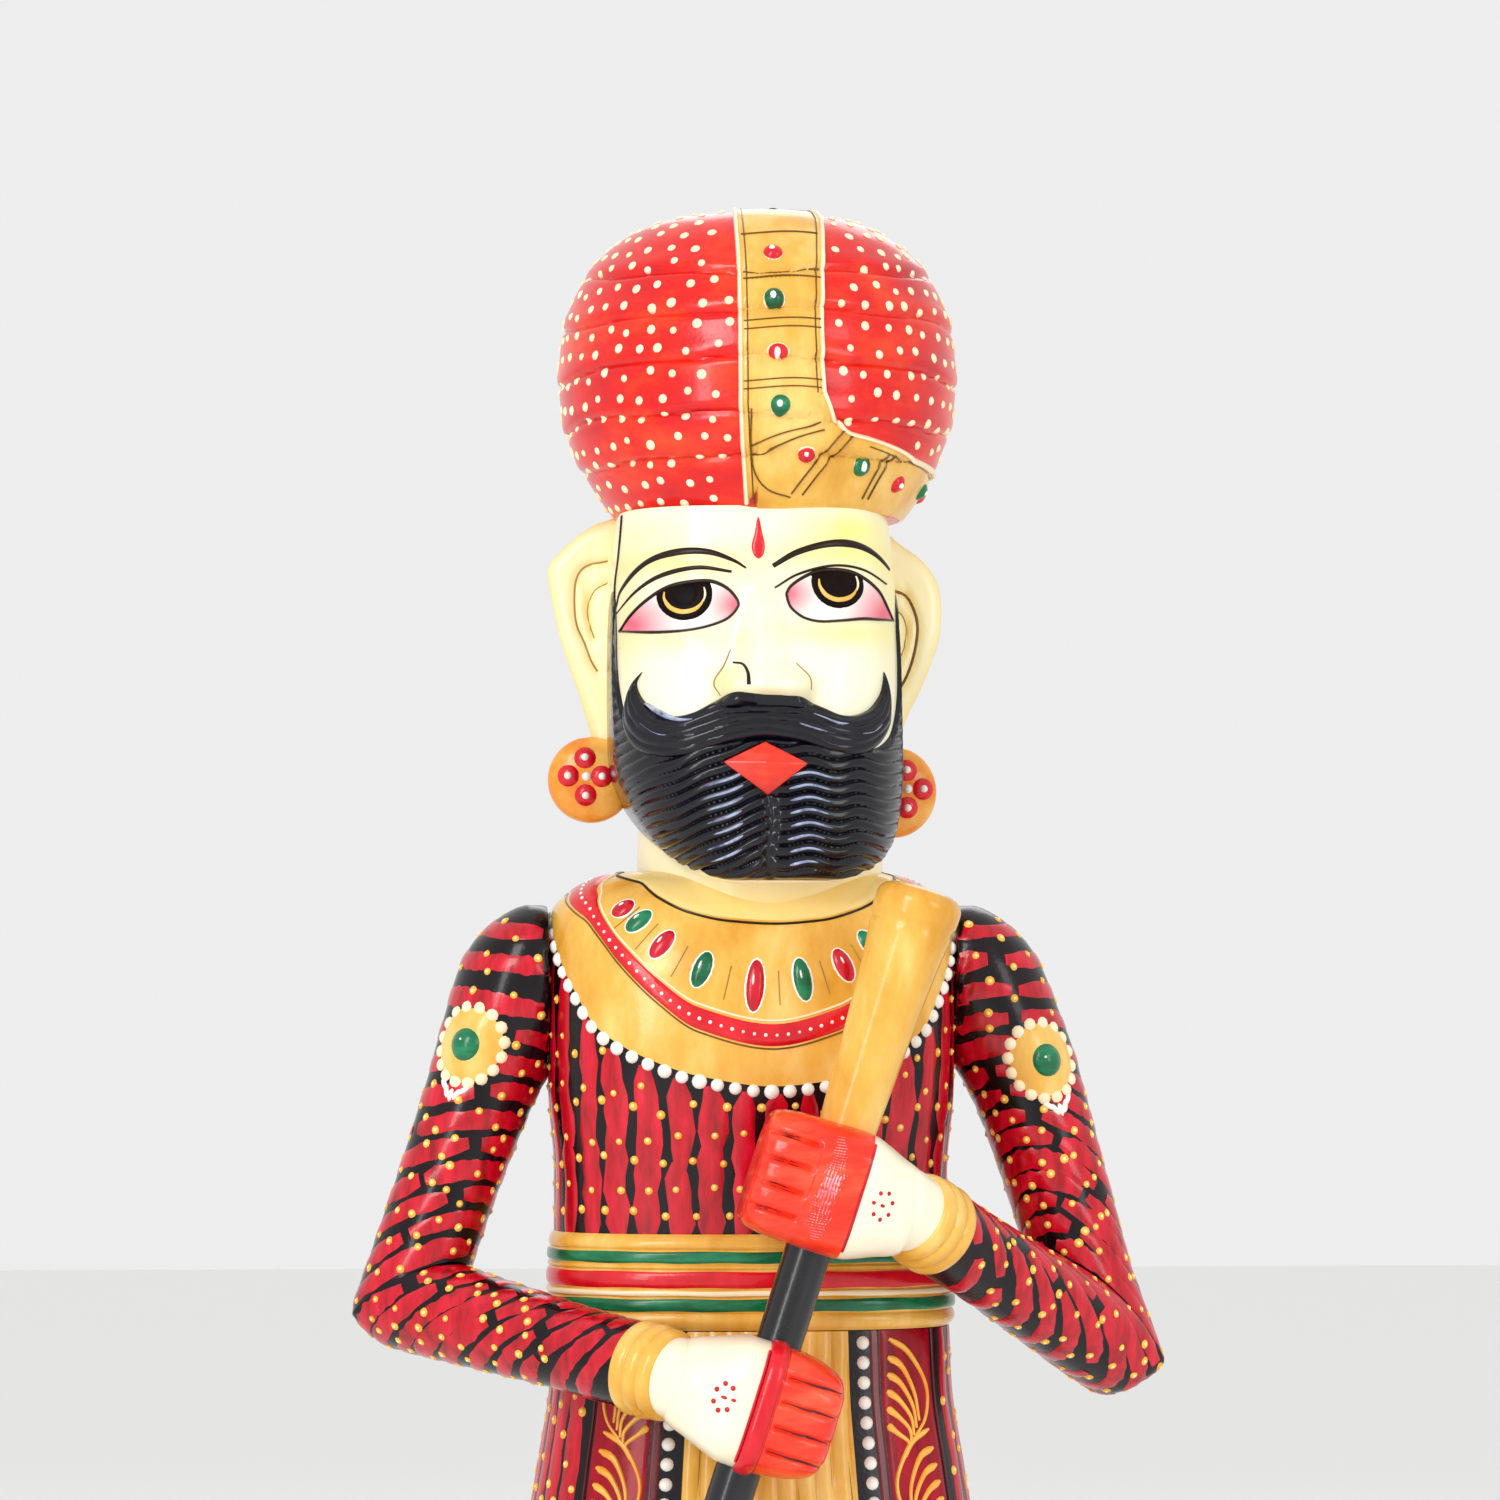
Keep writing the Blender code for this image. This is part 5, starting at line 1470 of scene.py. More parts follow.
FACE_LINES = (
    # layer, paint, height, points, (x, z) along it in mm, half widths in mm
    ("brows", "line", 0.0005, 60, (
        (-41, 488.5), (-39.5, 493.5), (-32.4, 500.5), (-23.9, 503.1), (-15.3, 503), (-8.1, 500.5),
        (-4.3, 498.2),
    ), (0.4, 0.7, 0.9, 1.1, 1, 0.7, 0.3)),
    ("brows", "line", 0.0005, 60, (
        (3.6, 498.8), (11, 503), (20, 505.6), (27.5, 505.8), (33.7, 503.7), (39.2, 499.5),
    ), (0.7, 0.9, 1, 1.2, 1, 0.5)),
    ("lid_creases", "line", 0.0004, 50, (
        (-41.5, 485.8), (-35.2, 492.7), (-28.2, 496.6), (-18.2, 498.4), (-8.5, 497),
    ), (0.2, 0.6, 0.7, 0.6, 0.4)),
    ("lid_creases", "line", 0.0004, 50, (
        (4, 492.2), (11, 496.5), (21.4, 499.3), (30.6, 498.6), (38.5, 495),
    ), (0.3, 0.4, 0.4, 0.4, 0.3)),
    ("lid_creases", "line", 0.0004, 24, (
        (-8.3, 470.1), (-5.6, 469.2), (-4.3, 466), (-4.1, 461.8),
    ), (0.3, 0.4, 0.5, 0.6)),
    ("face_fine_lines", "fine", 0.0002, 20, (
        (-9, 474), (-11, 469), (-13.8, 464), (-12, 460),
    ), (0.2, 0.3, 0.2)),
    ("face_fine_lines", "fine", 0.0002, 16, (
        (10, 470), (13.5, 465.5), (13.8, 461.5),
    ), (0.2, 0.3, 0.2)),
    ("brows", "line", 0.0005, 30, (
        (-39.2, 515.8), (-40.2, 505), (-41.2, 495), (-41.5, 486),
    ), (0.7, 0.5, 0.8)),
)
TILAK = mm((
    (-0.6, 513.5), (0.6, 508.5), (1.3, 505), (0.8, 502.2), (-0.6, 501), (-2, 502.2), (-2.6, 504.8), (-1.7, 508.5),
))


def make_brows_and_lines():
    for name, paint, height, count, points, widths in FACE_LINES:
        face_stroke(face_layer(name, paint), mm(points), mm(widths), height, count)
    mark = face_layer("tilak", "red")
    inlay(mark, HEAD, curve_through(TILAK, 40, closed=True), 0.0005, 0.0007, chart=on_face)


MOUSTACHE_TOP = mm((
    (-33.5, 468), (-35.2, 464.5), (-33.8, 460), (-30, 456), (-24.7, 454.6), (-19.2, 455.8), (-13.4, 458.8),
    (-7.8, 460.2), (0, 459.4), (6.5, 459.4), (12, 459.2), (17.2, 457.3), (22, 455.3), (26.8, 455), (31.5, 457),
    (34.7, 461), (35.8, 464.5), (36.2, 468.4),
))
MOUSTACHE_LOW = mm((
    (-33.5, 468), (-37.2, 461), (-38.2, 452.7), (-36, 445.7), (-29.6, 442.4), (-21.8, 442.6), (-14.6, 444.8),
    (-8, 446.6), (0, 447.7), (7, 447.3), (12.8, 446.1), (19, 444), (24.5, 442.8), (30, 443.6), (34.6, 447.2),
    (37, 452.6), (37.3, 460.4), (36.2, 468.4),
))


def make_moustache():
    """A thick curled moustache, carved in strands along its length."""
    columns, rows = 240, 26
    top, low = curve_through(MOUSTACHE_TOP, columns), curve_through(MOUSTACHE_LOW, columns)
    share = np.linspace(0, 1, rows)[:, None]
    x = low[:, 0] + (top[:, 0] - low[:, 0]) * share
    z = low[:, 1] + (top[:, 1] - low[:, 1]) * share
    u, z = on_face(x, z)
    along = np.linspace(0, 1, columns)[None, :]
    ends = np.clip(np.sin(math.pi * along) * 2.4, 0, 1) ** 0.7
    crown = dome(share)
    strands = np.abs(np.sin(math.pi * (share * 4.6 + 0.12 * np.sin(along * 22)))) ** 0.6
    height = ends * (0.0006 + 0.0024 * crown + 0.0007 * strands * crown)
    raise_grid(face_layer("moustache", "beard"), HEAD, u, z, height + 0.0002, sink=0.001)
    # Bluish strokes along the moustache's strands: painted highlights.
    sheen = face_layer("beard_lights", "sheen")
    for points, width, lift in mm((
        (((-32.5, 458.5), (-27, 454.5), (-21.5, 453), (-16, 454)), 0.85, 3.6),
        (((-34.5, 454.5), (-29, 449.5), (-23.5, 448.5)), 0.55, 3.9),
        (((11, 456), (16.5, 454), (21.5, 452.2), (27, 452.2)), 0.85, 3.7),
        (((8.5, 452.5), (14.5, 450.5), (20, 449)), 0.55, 4),
        (((25.5, 449), (31, 450), (34.5, 454)), 0.55, 3.7),
    )):
        face_stroke(sheen, points, (0.2 * width, width, width, 0.2 * width), lift, 24)


def make_lips():
    """A small faceted diamond of lips, set proud of the beard."""
    corners = np.array(mm(((-11.2, 440.8), (0.6, 446.6), (12.8, 440.4), (1.4, 431.2), (1, 440.2))))
    u, z = on_face(corners[:, 0], corners[:, 1])
    normal = outward(HEAD, u, z)
    skin = HEAD(u, z)
    rim, back = skin[:4] + normal[:4] * 0.0030, skin[:4] - normal[:4] * 0.0010
    verts = np.vstack([rim, back, skin[4:] + normal[4:] * 0.0058])
    bm = bmesh.new()
    knots = [bm.verts.new(v) for v in verts]
    bm.faces.new([knots[index] for index in (7, 6, 5, 4)])
    for k in range(4):
        after = (k + 1) % 4
        bm.faces.new([knots[index] for index in (8, k, after)])
        bm.faces.new([knots[index] for index in (k, 4 + k, 4 + after, after)])
    bmesh.ops.recalc_face_normals(bm, faces=bm.faces)
    bmesh.ops.bevel(bm, geom=bm.edges[:], offset=0.0004, segments=3, profile=0.5, affect="EDGES")
    bmesh.ops.triangulate(bm, faces=bm.faces)
    bm.verts.index_update()
    points = np.array([v.co[:] for v in bm.verts])
    # The lower facets are darkened, painted shade under the lips' ridge; towards the figure's right the lips turn more
    # purple-pink.
    low = np.clip((0.4385 - points[:, 2]) / 0.004, 0, 1)[:, None]
    side = np.clip((-0.002 - points[:, 0]) / 0.006, 0, 1)[:, None]
    tones = (1 - low * (1 - np.array((0.62, 0.50, 0.55)))) * (1 - side * (1 - np.array((0.95, 0.62, 1.2))))
    face_layer("lips", "finger").add(points, [tuple(v.index for v in f.verts) for f in bm.faces], tones)
    bm.free()


def beard_top(u):
    """The beard's upper edge: under the moustache in front, and up to the sideburns at the sides."""
    rows = (
        (-0.300, 0.4400), (-0.262, 0.4480), (-0.236, 0.4700), (-0.222, 0.4920), (-0.205, 0.4935), (-0.186, 0.4905),
        (-0.176, 0.4760), (-0.168, 0.4650), (-0.156, 0.4560), (-0.140, 0.4490), (-0.110, 0.4455), (0.0, 0.4485),
        (0.110, 0.4455), (0.140, 0.4490), (0.160, 0.4560), (0.172, 0.4640), (0.180, 0.4780), (0.190, 0.4905),
        (0.205, 0.4935), (0.222, 0.4920), (0.236, 0.4700), (0.262, 0.4480), (0.300, 0.4400),
    )
    return hermite(rows, 1, u)


STRAND_PITCH = 0.0036
CHIN_X = 0.0022


def strand_rise(x):
    """How a strand of the beard rises or falls across it: steeply down to the figure's right, level to its left."""
    return np.where(x < 0, 0.40, -0.02) * x - 0.0006 * np.sin(x * 420) * np.where(x < 0, 0.5, 1.2)


def make_beard():
    """A full square beard in carved strands that fall away from a groove down the chin."""
    columns, rows = 420, 130
    u = np.linspace(-0.285, 0.285, columns)
    rows_low = ((0.12, HEAD_LOW + 0.0006), (0.20, 0.4130), (0.25, 0.4230), (0.300, 0.4330))
    low = hermite([(-turn, z) for turn, z in reversed(rows_low)] + list(rows_low), 1, u)
    share = np.linspace(0, 1, rows)[:, None]
    z = low + (beard_top(u) - low) * share
    u = np.broadcast_to(u, z.shape)
    x = HEAD.plain(u, z)[..., 0] - CHIN_X
    phase = (z - strand_rise(x)) / STRAND_PITCH
    crest = 1 - np.abs((phase % 1.0) * 2 - 1)
    strands = 0.0011 * np.minimum(crest * 1.6, 1) ** 0.8
    groove = bell(x - 0.0006 * np.sin(z * 300), 0.0016) * smoothstep(0.4360, 0.4300, z)
    middle = smoothstep(0.044, 0.020, np.abs(x)) * smoothstep(0.4060, 0.4120, z)
    edge = smoothstep(0, 0.05, share) * smoothstep(1, 0.95, share)
    side = smoothstep(0.215, 0.165, np.abs(u))
    height = edge * (0.0003 + (0.0004 + strands * (0.35 + 0.65 * middle)) * side) * (1 - 0.85 * groove) + 0.00025
    raise_grid(face_layer("beard", "beard"), HEAD, u, z, height, sink=0.0006)
    make_lips()
    make_beard_painted_highlights()


def make_beard_painted_highlights():
    """Painted highlights: thin bluish brush lines along the crests of the beard's strands, shorter towards the chin."""
    sheen = face_layer("beard_lights", "sheen")
    first = round(0.4375 / STRAND_PITCH)
    for sign, start, reach in ((-1, 0.0072, 0.0185), (1, 0.0045, 0.0240)):
        for k in range(8):
            near = start + 0.0010 * rng.random()
            x = sign * np.linspace(near, start + reach * (1 - 0.055 * k) * rng.uniform(0.75, 1.0), 22)
            z = (first - k - (1 if sign > 0 else 0) + 0.5) * STRAND_PITCH + strand_rise(x)
            if z.min() < HEAD_LOW + 0.004:
                continue
            u, z = on_face(x + CHIN_X, z)
            share = np.linspace(0, 1, 22)
            width = 0.00072 * np.interp(share, (0, 0.15, 0.5, 1), (0.4, 1.0, 0.8, 0.15))
            stroke(sheen, HEAD, pairs(u, z), width, 0.00262)


def make_hair():
    """Painted hair across the back of the head, under the turban."""
    hair = face_layer("nape_hair", "black")
    columns, rows = 200, 40
    u = np.linspace(0.315, 0.685, columns)
    away = np.abs(u - 0.5) / 0.185
    low = 0.4640 + 0.034 * away ** 2.2
    share = np.linspace(0, 1, rows)[:, None]
    z = low + (HEAD_HIGH - 0.0008 - low) * share
    u = np.broadcast_to(u, z.shape)
    comb = 0.00035 * np.abs(np.sin(u * 260 + 0.5 * np.sin(z * 240))) ** 0.7
    raise_grid(hair, HEAD, u, z, 0.0005 + comb)


# ---------------------------------------------------------------- ears and earrings
EAR_Y = 0.008
EAR_OUTLINES = {
    "right": mm((
        (-38.5, 517.8), (-43.5, 516.1), (-47, 514.8), (-51.6, 511.7), (-57, 506.7), (-60, 503), (-60.4, 499),
        (-59.6, 493.6), (-57.3, 482.8), (-54.3, 472.7), (-50.9, 463.3), (-47.8, 452.6), (-46.5, 447),
        (-38.5, 445),
    )),
    "left": mm((
        (38.5, 516), (41.5, 513.7), (46, 509.7), (51.3, 506), (55.3, 501.6), (57.8, 496.3), (58.6, 488.9),
        (57.8, 480.8), (55.4, 473.4), (52.1, 465.4), (48.7, 458.6), (46.4, 452.6), (45.5, 447), (38.5, 445),
    )),
}
EAR_FOLDS = {
    "right": ("fine", mm((
        (-42.5, 504), (-48.9, 502.6), (-51.9, 499), (-52.6, 492.2), (-51.9, 484.8), (-49.6, 479.4),
        (-47.6, 474.1), (-45.6, 470.7),
    )), mm((
        (-42.5, 497.5), (-46.6, 494.9), (-48.6, 489.5), (-47.9, 484.8), (-46.6, 480.8),
    ))),
    "left": ("gold_dark", mm((
        (44, 495.5), (47.8, 493.9), (50.2, 489.5), (51.2, 484.2), (50.2, 476.7), (47.8, 469.5), (44.5, 464),
    )), mm((
        (43, 490), (46.2, 488.5), (47.8, 484.2), (47, 478), (44.8, 473),
    ))),
}
EAR_HALF = 0.0030
EAR_RIM = 0.0035


def ear_depth(side, x, z):
    """How far forward of its middle plane the ear's front is: a rounded rim and two carved folds."""
    outline = curve_through(EAR_OUTLINES[side], 90)
    flat = pairs(np.ravel(x), np.ravel(z))
    edge = edge_distance(flat, outline).reshape(np.shape(x))
    depth = EAR_HALF * (0.30 + 0.70 * np.sqrt(np.clip(edge / EAR_RIM, 0, 1)))
    for fold in EAR_FOLDS[side][1:]:
        away = line_distance(flat, curve_through(fold, 50)).reshape(np.shape(x))
        depth = depth - 0.0012 * bell(away, 0.0013)
    inner = smoothstep(0.0075, 0.0105, edge) * smoothstep(0.0405, 0.0440, np.abs(x))
    return depth - 0.0010 * inner


def make_ear(side):
    outline = curve_through(EAR_OUTLINES[side], 110)
    flat, faces = fill_outline(outline, 0.0008, 0, 0.00032)
    x, z = flat[:, 0], flat[:, 1]
    depth = ear_depth(side, x, z)
    plain = EAR_HALF * (0.30 + 0.70 * np.sqrt(np.clip(edge_distance(flat, outline) / EAR_RIM, 0, 1)))
    mesh = bpy.data.meshes.new("ear")
    verts = np.vstack([np.stack([x, EAR_Y - depth, z], -1), np.stack([x, EAR_Y + plain, z], -1)])
    mesh.from_pydata(verts.tolist(), [], faces)
    # Ochre where the ear's front falls back, on its rounded rim and in its folds and hollow: painted shade.
    recess_shade = np.clip((EAR_HALF - depth) / 0.0022, 0, 1)[:, None]
    tones = 1 - recess_shade * (1 - np.array((0.97, 0.84, 0.52)))
    base = np.array((0.99, 0.95, 0.80))
    set_tones(mesh, np.vstack([tones * base, np.tile(base, (len(flat), 1))]))
    place(f"ear_{side}_carving", mesh, PAINT["face"], "head", "face_paint", (f"ear_{side}",))
    paint, main, minor = EAR_FOLDS[side]
    surface = ear_surface(side)
    layer = face_layer(f"ear_{side}_line", paint)
    stroke(layer, surface, curve_through(main, 50), 0.00045 if side == "left" else 0.0003, 0.0004)
    layer = face_layer(f"ear_{side}_fine_line", "fine")
    stroke(layer, surface, curve_through(minor, 40), 0.0002, 0.0003)


def ear_surface(side):
    def surface(x, z):
        x, z = spread(x, z)
        return np.stack([x, EAR_Y - ear_depth(side, x, z), z], -1)
    return surface


EARRING_PLACES = {"right": (-0.0476, 0.0035, 0.4380), "left": (0.0437, 0.0035, 0.4345)}
EARRING_SHIFT = {"right": -0.0020, "left": 0.0034}
EARRING_RADIUS = 0.0132


def make_earring(side):
    """A domed gold stud with a flower of red drops, each with a white middle."""
    x0, y0, z0 = EARRING_PLACES[side]
    tall = 1.0 if side == "right" else 1.06
    rows = (
        (0.0, -0.0050), (0.45, -0.0046), (0.80, -0.0030), (0.95, -0.0014), (1.0, 0.0006), (0.96, 0.0024),
        (0.7, 0.0034), (0.02, 0.0036),
    )
    path = curve_through(rows, 36)
    angle = turns(72)
    reach = np.maximum(path[:, :1], 0.02) * EARRING_RADIUS
    grid = np.stack([x0 + reach * np.cos(angle), y0 + path[:, 1:] + 0 * angle, z0 + reach * tall * np.sin(angle)], -1)
    carve(f"earring_{side}", "turned", grid, "orange", "head", "earring_paint")

    def front(x, z):
        x, z = spread(x, z)
        away = np.hypot(x - x0, (z - z0) / tall) / EARRING_RADIUS
        return np.stack([x, y0 - 0.0050 + 0.0024 * away ** 2.2, z], -1)

    red = Layer.of(f"earring_{side}_red", "head", "earring_paint", "red")
    white = Layer.of(f"earring_{side}_white", "head", "earring_paint", "white")
    middle = x0 + EARRING_SHIFT[side]
    for dx, dz in ((0.0, 0.0058), (-0.0050, 0.0004), (0.0050, 0.0002), (0.0002, -0.0054)):
        dot(red, front, middle + dx, z0 + dz + 0.0006, 0.0033, 0.0013, 16)
        dot(white, front, middle + dx, z0 + dz + 0.0006, 0.0014, 0.0021, 10)
    dot(white, front, middle + 0.0004, z0 + 0.0008, 0.0014, 0.0012, 10)


# ---------------------------------------------------------------- turban
TURBAN_PROFILE = mm((
    (42.5, 515.8), (45.2, 519.2), (48.7, 524.2), (53.8, 532.8), (58, 543.2), (59.7, 556), (59.2, 567.6),
    (56.8, 578.6), (51.8, 588.6), (44.2, 597.4), (33.5, 603.7), (20.5, 606.4), (0, 607),
))
TURBAN_MIDDLE = 0.5600
TURBAN_X = NECK_X - 0.0008
CREASES = (
    # height, sag, phase
    (0.5725, 0.0010, 0.4), (0.5571, 0.0016, 1.9), (0.5415, 0.0012, 3.0), (0.5860, 0.0016, 5.1), (0.5300, 0.0010, 0.9),
)


class Turban:
    """The turban as a surface: rays from its middle, so that it can be charted round or over the top."""

    def __init__(self):
        line = curve_through([(r, z - TURBAN_MIDDLE) for r, z in TURBAN_PROFILE], 300)
        self.rise = np.arctan2(line[:, 1], line[:, 0])
        self.reach = np.hypot(line[:, 0], line[:, 1])

    def along(self, ray):
        flat = np.hypot(ray[..., 0], ray[..., 1])
        rise = np.arctan2(ray[..., 2], flat)
        reach = np.interp(rise, self.rise, self.reach)
        z = TURBAN_MIDDLE + reach * np.sin(rise)
        turn = np.arctan2(ray[..., 0], -ray[..., 1])
        fold = 0 * z
        for level, sag, phase in CREASES:
            line = level + sag * np.sin(turn * 2 + phase) + 0.0006 * np.sin(turn * 7 + phase)
            share = z - line
            fold = fold - 0.0012 * np.exp(-(share / 0.0009) ** 2) + 0.0005 * np.exp(-((share - 0.0030) / 0.0025) ** 2)
        return np.array((TURBAN_X, 0, TURBAN_MIDDLE)) + ray * (reach + fold)[..., None]

    def round(self, u, rise):
        """Chart round the turban: turn from the front, and angle of rise."""
        u, rise = spread(u, rise)
        a = 2 * math.pi * u
        return self.along(np.stack([np.cos(rise) * np.sin(a), -np.cos(rise) * np.cos(a), np.sin(rise)], -1))

    def over(self, side, roll):
        """Chart over the top: angle to the side, and roll from the front over the top to the back."""
        side, roll = spread(side, roll)
        return self.along(np.stack([np.sin(side), -np.cos(side) * np.cos(roll), np.cos(side) * np.sin(roll)], -1))


TURBAN = Turban()
RIM_RISE = float(TURBAN.rise[0])


RISES = np.linspace(RIM_RISE, math.pi / 2, 400)
REACHES = np.interp(RISES, TURBAN.rise, TURBAN.reach)
HEIGHTS = TURBAN_MIDDLE + REACHES * np.sin(RISES)


def rise_at(z):
    return np.interp(z, HEIGHTS, RISES)


def over_at(x, z):
    """The over-the-top chart's (side, roll) for a place seen from the front."""
    rise = rise_at(z)
    radius = np.interp(z, HEIGHTS, REACHES * np.cos(RISES))
    across = np.clip((x - TURBAN_X) / np.maximum(radius, 1e-6), -0.999, 0.999)
    flat = np.cos(rise)
    return math.asin(flat * across), math.atan2(np.sin(rise), flat * np.sqrt(1 - across ** 2))


BAND_LEFT = mm((
    (-6.8, 601.5), (-6.8, 585), (-6.8, 560), (-6.6, 545), (-5.8, 534), (-4, 517.5),
))
BAND_RIGHT = mm((
    (18.6, 601.5), (17.4, 585), (16.8, 570), (17, 556), (17.6, 548.6),
))
BAND_END = math.pi + 0.60
SASH_TOP = (
    (0.0423, 0.5486), (0.0520, 0.5414), (0.0697, 0.5373), (0.0890, 0.5362), (0.1260, 0.5340), (0.1640, 0.5317),
    (0.2500, 0.5303), (0.4000, 0.5305), (0.5200, 0.5312),
)


def make_turban():
    u = np.linspace(0, 1, 300, endpoint=False)[None, :]
    rise = np.linspace(RIM_RISE, math.pi / 2 - 0.012, 170)[:, None]
    grid = TURBAN.round(u, rise)
    carve("turban", "carving", grid, "turban", "head", "turban_paint")
    gold = turban_layer("turban_band", "gold")
    left = np.array([over_at(x, z) for x, z in BAND_LEFT])
    right = np.array([over_at(x, z) for x, z in BAND_RIGHT])
    rows = np.linspace(0, 1, 190)
    left_roll = left[-1, 1] + (BAND_END - left[-1, 1]) * rows
    right_roll = right[-1, 1] + (BAND_END - right[-1, 1]) * rows
    left_side = np.interp(left_roll, left[::-1, 1], left[::-1, 0])
    right_side = np.interp(right_roll, right[::-1, 1], right[::-1, 0])
    share = np.linspace(0, 1, 24)[None, :]
    side = left_side[:, None] + (right_side - left_side)[:, None] * share
    roll = left_roll[:, None] + (right_roll - left_roll)[:, None] * share
    raise_grid(gold, TURBAN.over, side, roll, 0.0008, sink=0.0012)
    make_sash(gold)
    make_band_details(left_side, left_roll, right_side, right_roll)
    make_turban_dots()


def sash_high(u):
    return rise_at(hermite(SASH_TOP, 1, u))


def make_sash(gold):
    """The band's tail, which turns aside at the brow and runs round the rim to the back."""
    u = np.linspace(-0.012, 0.515, 300)
    share = np.linspace(0, 1, 16)[:, None]
    low = RIM_RISE + 0.004
    top = sash_high(np.maximum(u, SASH_TOP[0][0]))
    rise = low + (top - low) * share
    raise_grid(gold, TURBAN.round, np.broadcast_to(u, rise.shape), rise, 0.0009, sink=0.0012)


BAND_GEMS = (
    (0.0031, 0.5896, "red"), (0.0029, 0.5757, "green"), (0.0040, 0.5602, "red"), (0.0047, 0.5449, "green"),
    (0.0128, 0.5311, "red"), (0.0294, 0.5283, "green"), (0.0411, 0.5248, "red"),
)


def round_at(x, z):
    rise = float(rise_at(z))
    radius = float(np.interp(rise, TURBAN.rise, TURBAN.reach)) * math.cos(rise)
    return math.asin(max(-1, min(1, (x - TURBAN_X) / radius))) / (2 * math.pi), rise


def band_gem(chart, u, rise, colour, radius):
    dot(turban_layer("turban_gem_outlines", "cream"), chart, u, rise, radius + 0.0008, 0.0013, 18)
    dot(turban_layer(f"turban_gems_{colour}", colour), chart, u, rise, radius, 0.0026, 18)


def brow_gem(u, rise, colour):
    band_gem(TURBAN.round, u, rise, colour, 0.0032)
    dot(turban_layer("turban_gem_glints", "white"), TURBAN.round, u - 0.0009, rise + 0.006, 0.0015, 0.0032, 8)


def make_band_details(left_side, left_roll, right_side, right_roll):
    cream = turban_layer("turban_band_edges", "cream")
    dark = turban_layer("turban_band_lines", "gold_dark")
    for side, roll, inset in ((left_side, left_roll, 1), (right_side, right_roll, -1)):
        stroke(cream, TURBAN.over, pairs(side, roll), 0.00075, 0.0014)
        stroke(dark, TURBAN.over, pairs(side + inset * 0.034, roll), 0.00028, 0.0012)
    u = np.linspace(SASH_TOP[0][0], 0.512, 200)
    stroke(cream, TURBAN.round, pairs(u, sash_high(u)), 0.0007, 0.0015)
    stroke(dark, TURBAN.round, pairs(u, sash_high(u) - 0.034)[20:], 0.00028, 0.0013)
    corner = curve_through(mm(((-3.6, 544), (-3.4, 533), (-2, 526), (2, 521.5), (8.5, 519.5))), 24)
    stroke(dark, TURBAN.round, [round_at(x, z) for x, z in corner], 0.0003, 0.0015)
    for x, z, colour in BAND_GEMS:
        brow_gem(*round_at(x, z), colour)
    for k, u0 in enumerate(np.arange(0.215, 0.50, 0.045)):
        brow_gem(float(u0), float(rise_at(0.5245)), ("green", "red")[k % 2])
    levels = (0.5960, 0.5842, 0.5820, 0.5695, 0.5670, 0.5520, 0.5497)
    for z in levels:
        xs = np.linspace(-0.0058, 0.0166, 16)
        path = [over_at(x, z + 0.0006 * math.sin(x * 160)) for x in xs]
        stroke(dark, TURBAN.over, path, 0.00028, 0.0013)
    for xa, za, xb, zb in mm((
        (-3.5, 533.5, 16.5, 539.5), (-3.5, 530, 17.6, 538.2), (8.8, 520.5, 24, 538.5), (12, 520.2, 26.2, 536.8),
        (30, 520, 37.5, 533), (31.8, 520, 39.5, 532.8),
    )):
        path = []
        for s in np.linspace(0, 1, 12):
            path.append(round_at(xa + (xb - xa) * s, za + (zb - za) * s + 0.0008 * math.sin(math.pi * s)))
        stroke(dark, TURBAN.round, path, 0.0003, 0.0015)
    for roll in np.arange(1.25, BAND_END, 0.23):
        side = np.linspace(-0.11, 0.28, 14)
        stroke(dark, TURBAN.over, pairs(side, np.full(14, roll)), 0.00028, 0.0013)
    for k, roll in enumerate(np.arange(1.365, BAND_END - 0.1, 0.23)):
        band_gem(TURBAN.over, 0.085, roll, ("green", "red")[k % 2], 0.0028)


def off_band(point):
    """Whether a place on the turban is clear of the gold band and its tail."""
    x, y, z = point
    turn = math.atan2(x - NECK_X, -y) / (2 * math.pi)
    if -0.0098 < x < 0.0216:
        return False
    return turn < -0.02 or z > hermite(SASH_TOP, 1, max(turn, 0.0)) + 0.0022


DOT_PITCH = 0.0082  # round the turban
ROW_PITCH = 0.0067  # from row to row


def make_turban_dots():
    cream = turban_layer("turban_dots", "cream")
    rise = RIM_RISE + 0.055
    row = 0
    while rise < 1.42:
        reach = float(np.interp(rise, TURBAN.rise, TURBAN.reach)) * math.cos(rise)
        count = max(4, int(2 * math.pi * reach / DOT_PITCH))
        for k in range(count):
            u = (k + (0.5 if row % 2 else 0) + rng.uniform(-0.18, 0.18)) / count - 0.5
            lift = rise + rng.uniform(-0.022, 0.022)
            point = TURBAN.round(u, lift)
            if off_band(point):
                dot(cream, TURBAN.round, u, lift, 0.00138 * rng.uniform(0.8, 1.15), 0.0007, 9)
        rise += ROW_PITCH / float(np.interp(rise, TURBAN.rise, TURBAN.reach))
        row += 1


# ---------------------------------------------------------------- legs, shoes and base
ANKLE_RADIUS = 0.0133
WRINKLE = 0.0009
SHOE_TALL = 0.0190


def make_leg(side):
    low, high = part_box(f"leg_{side}")
    x0, y0 = (low.x + high.x) / 2, (low.y + high.y) / 2
    top = (high.x - low.x) / 2
    u = turns(80)
    z = np.linspace(low.z, high.z, 150)
    share = (z - low.z) / (high.z - low.z)
    radius = (ANKLE_RADIUS + (top - ANKLE_RADIUS) * share)[:, None]
    wrinkle = WRINKLE * np.abs(np.sin(z[:, None] * 620 + 0.8 * np.sin(u * 2 + x0 * 90)))
    radius = radius - WRINKLE + wrinkle * smoothstep(HEM_Z + 0.02, low.z + 0.004, z)[:, None]
    grid = np.stack([x0 + radius * np.sin(u), y0 - radius * np.cos(u), z[:, None] + 0 * u], -1)
    carve(f"leg_{side}", "carving", grid, "trouser", "body", "trouser_paint")


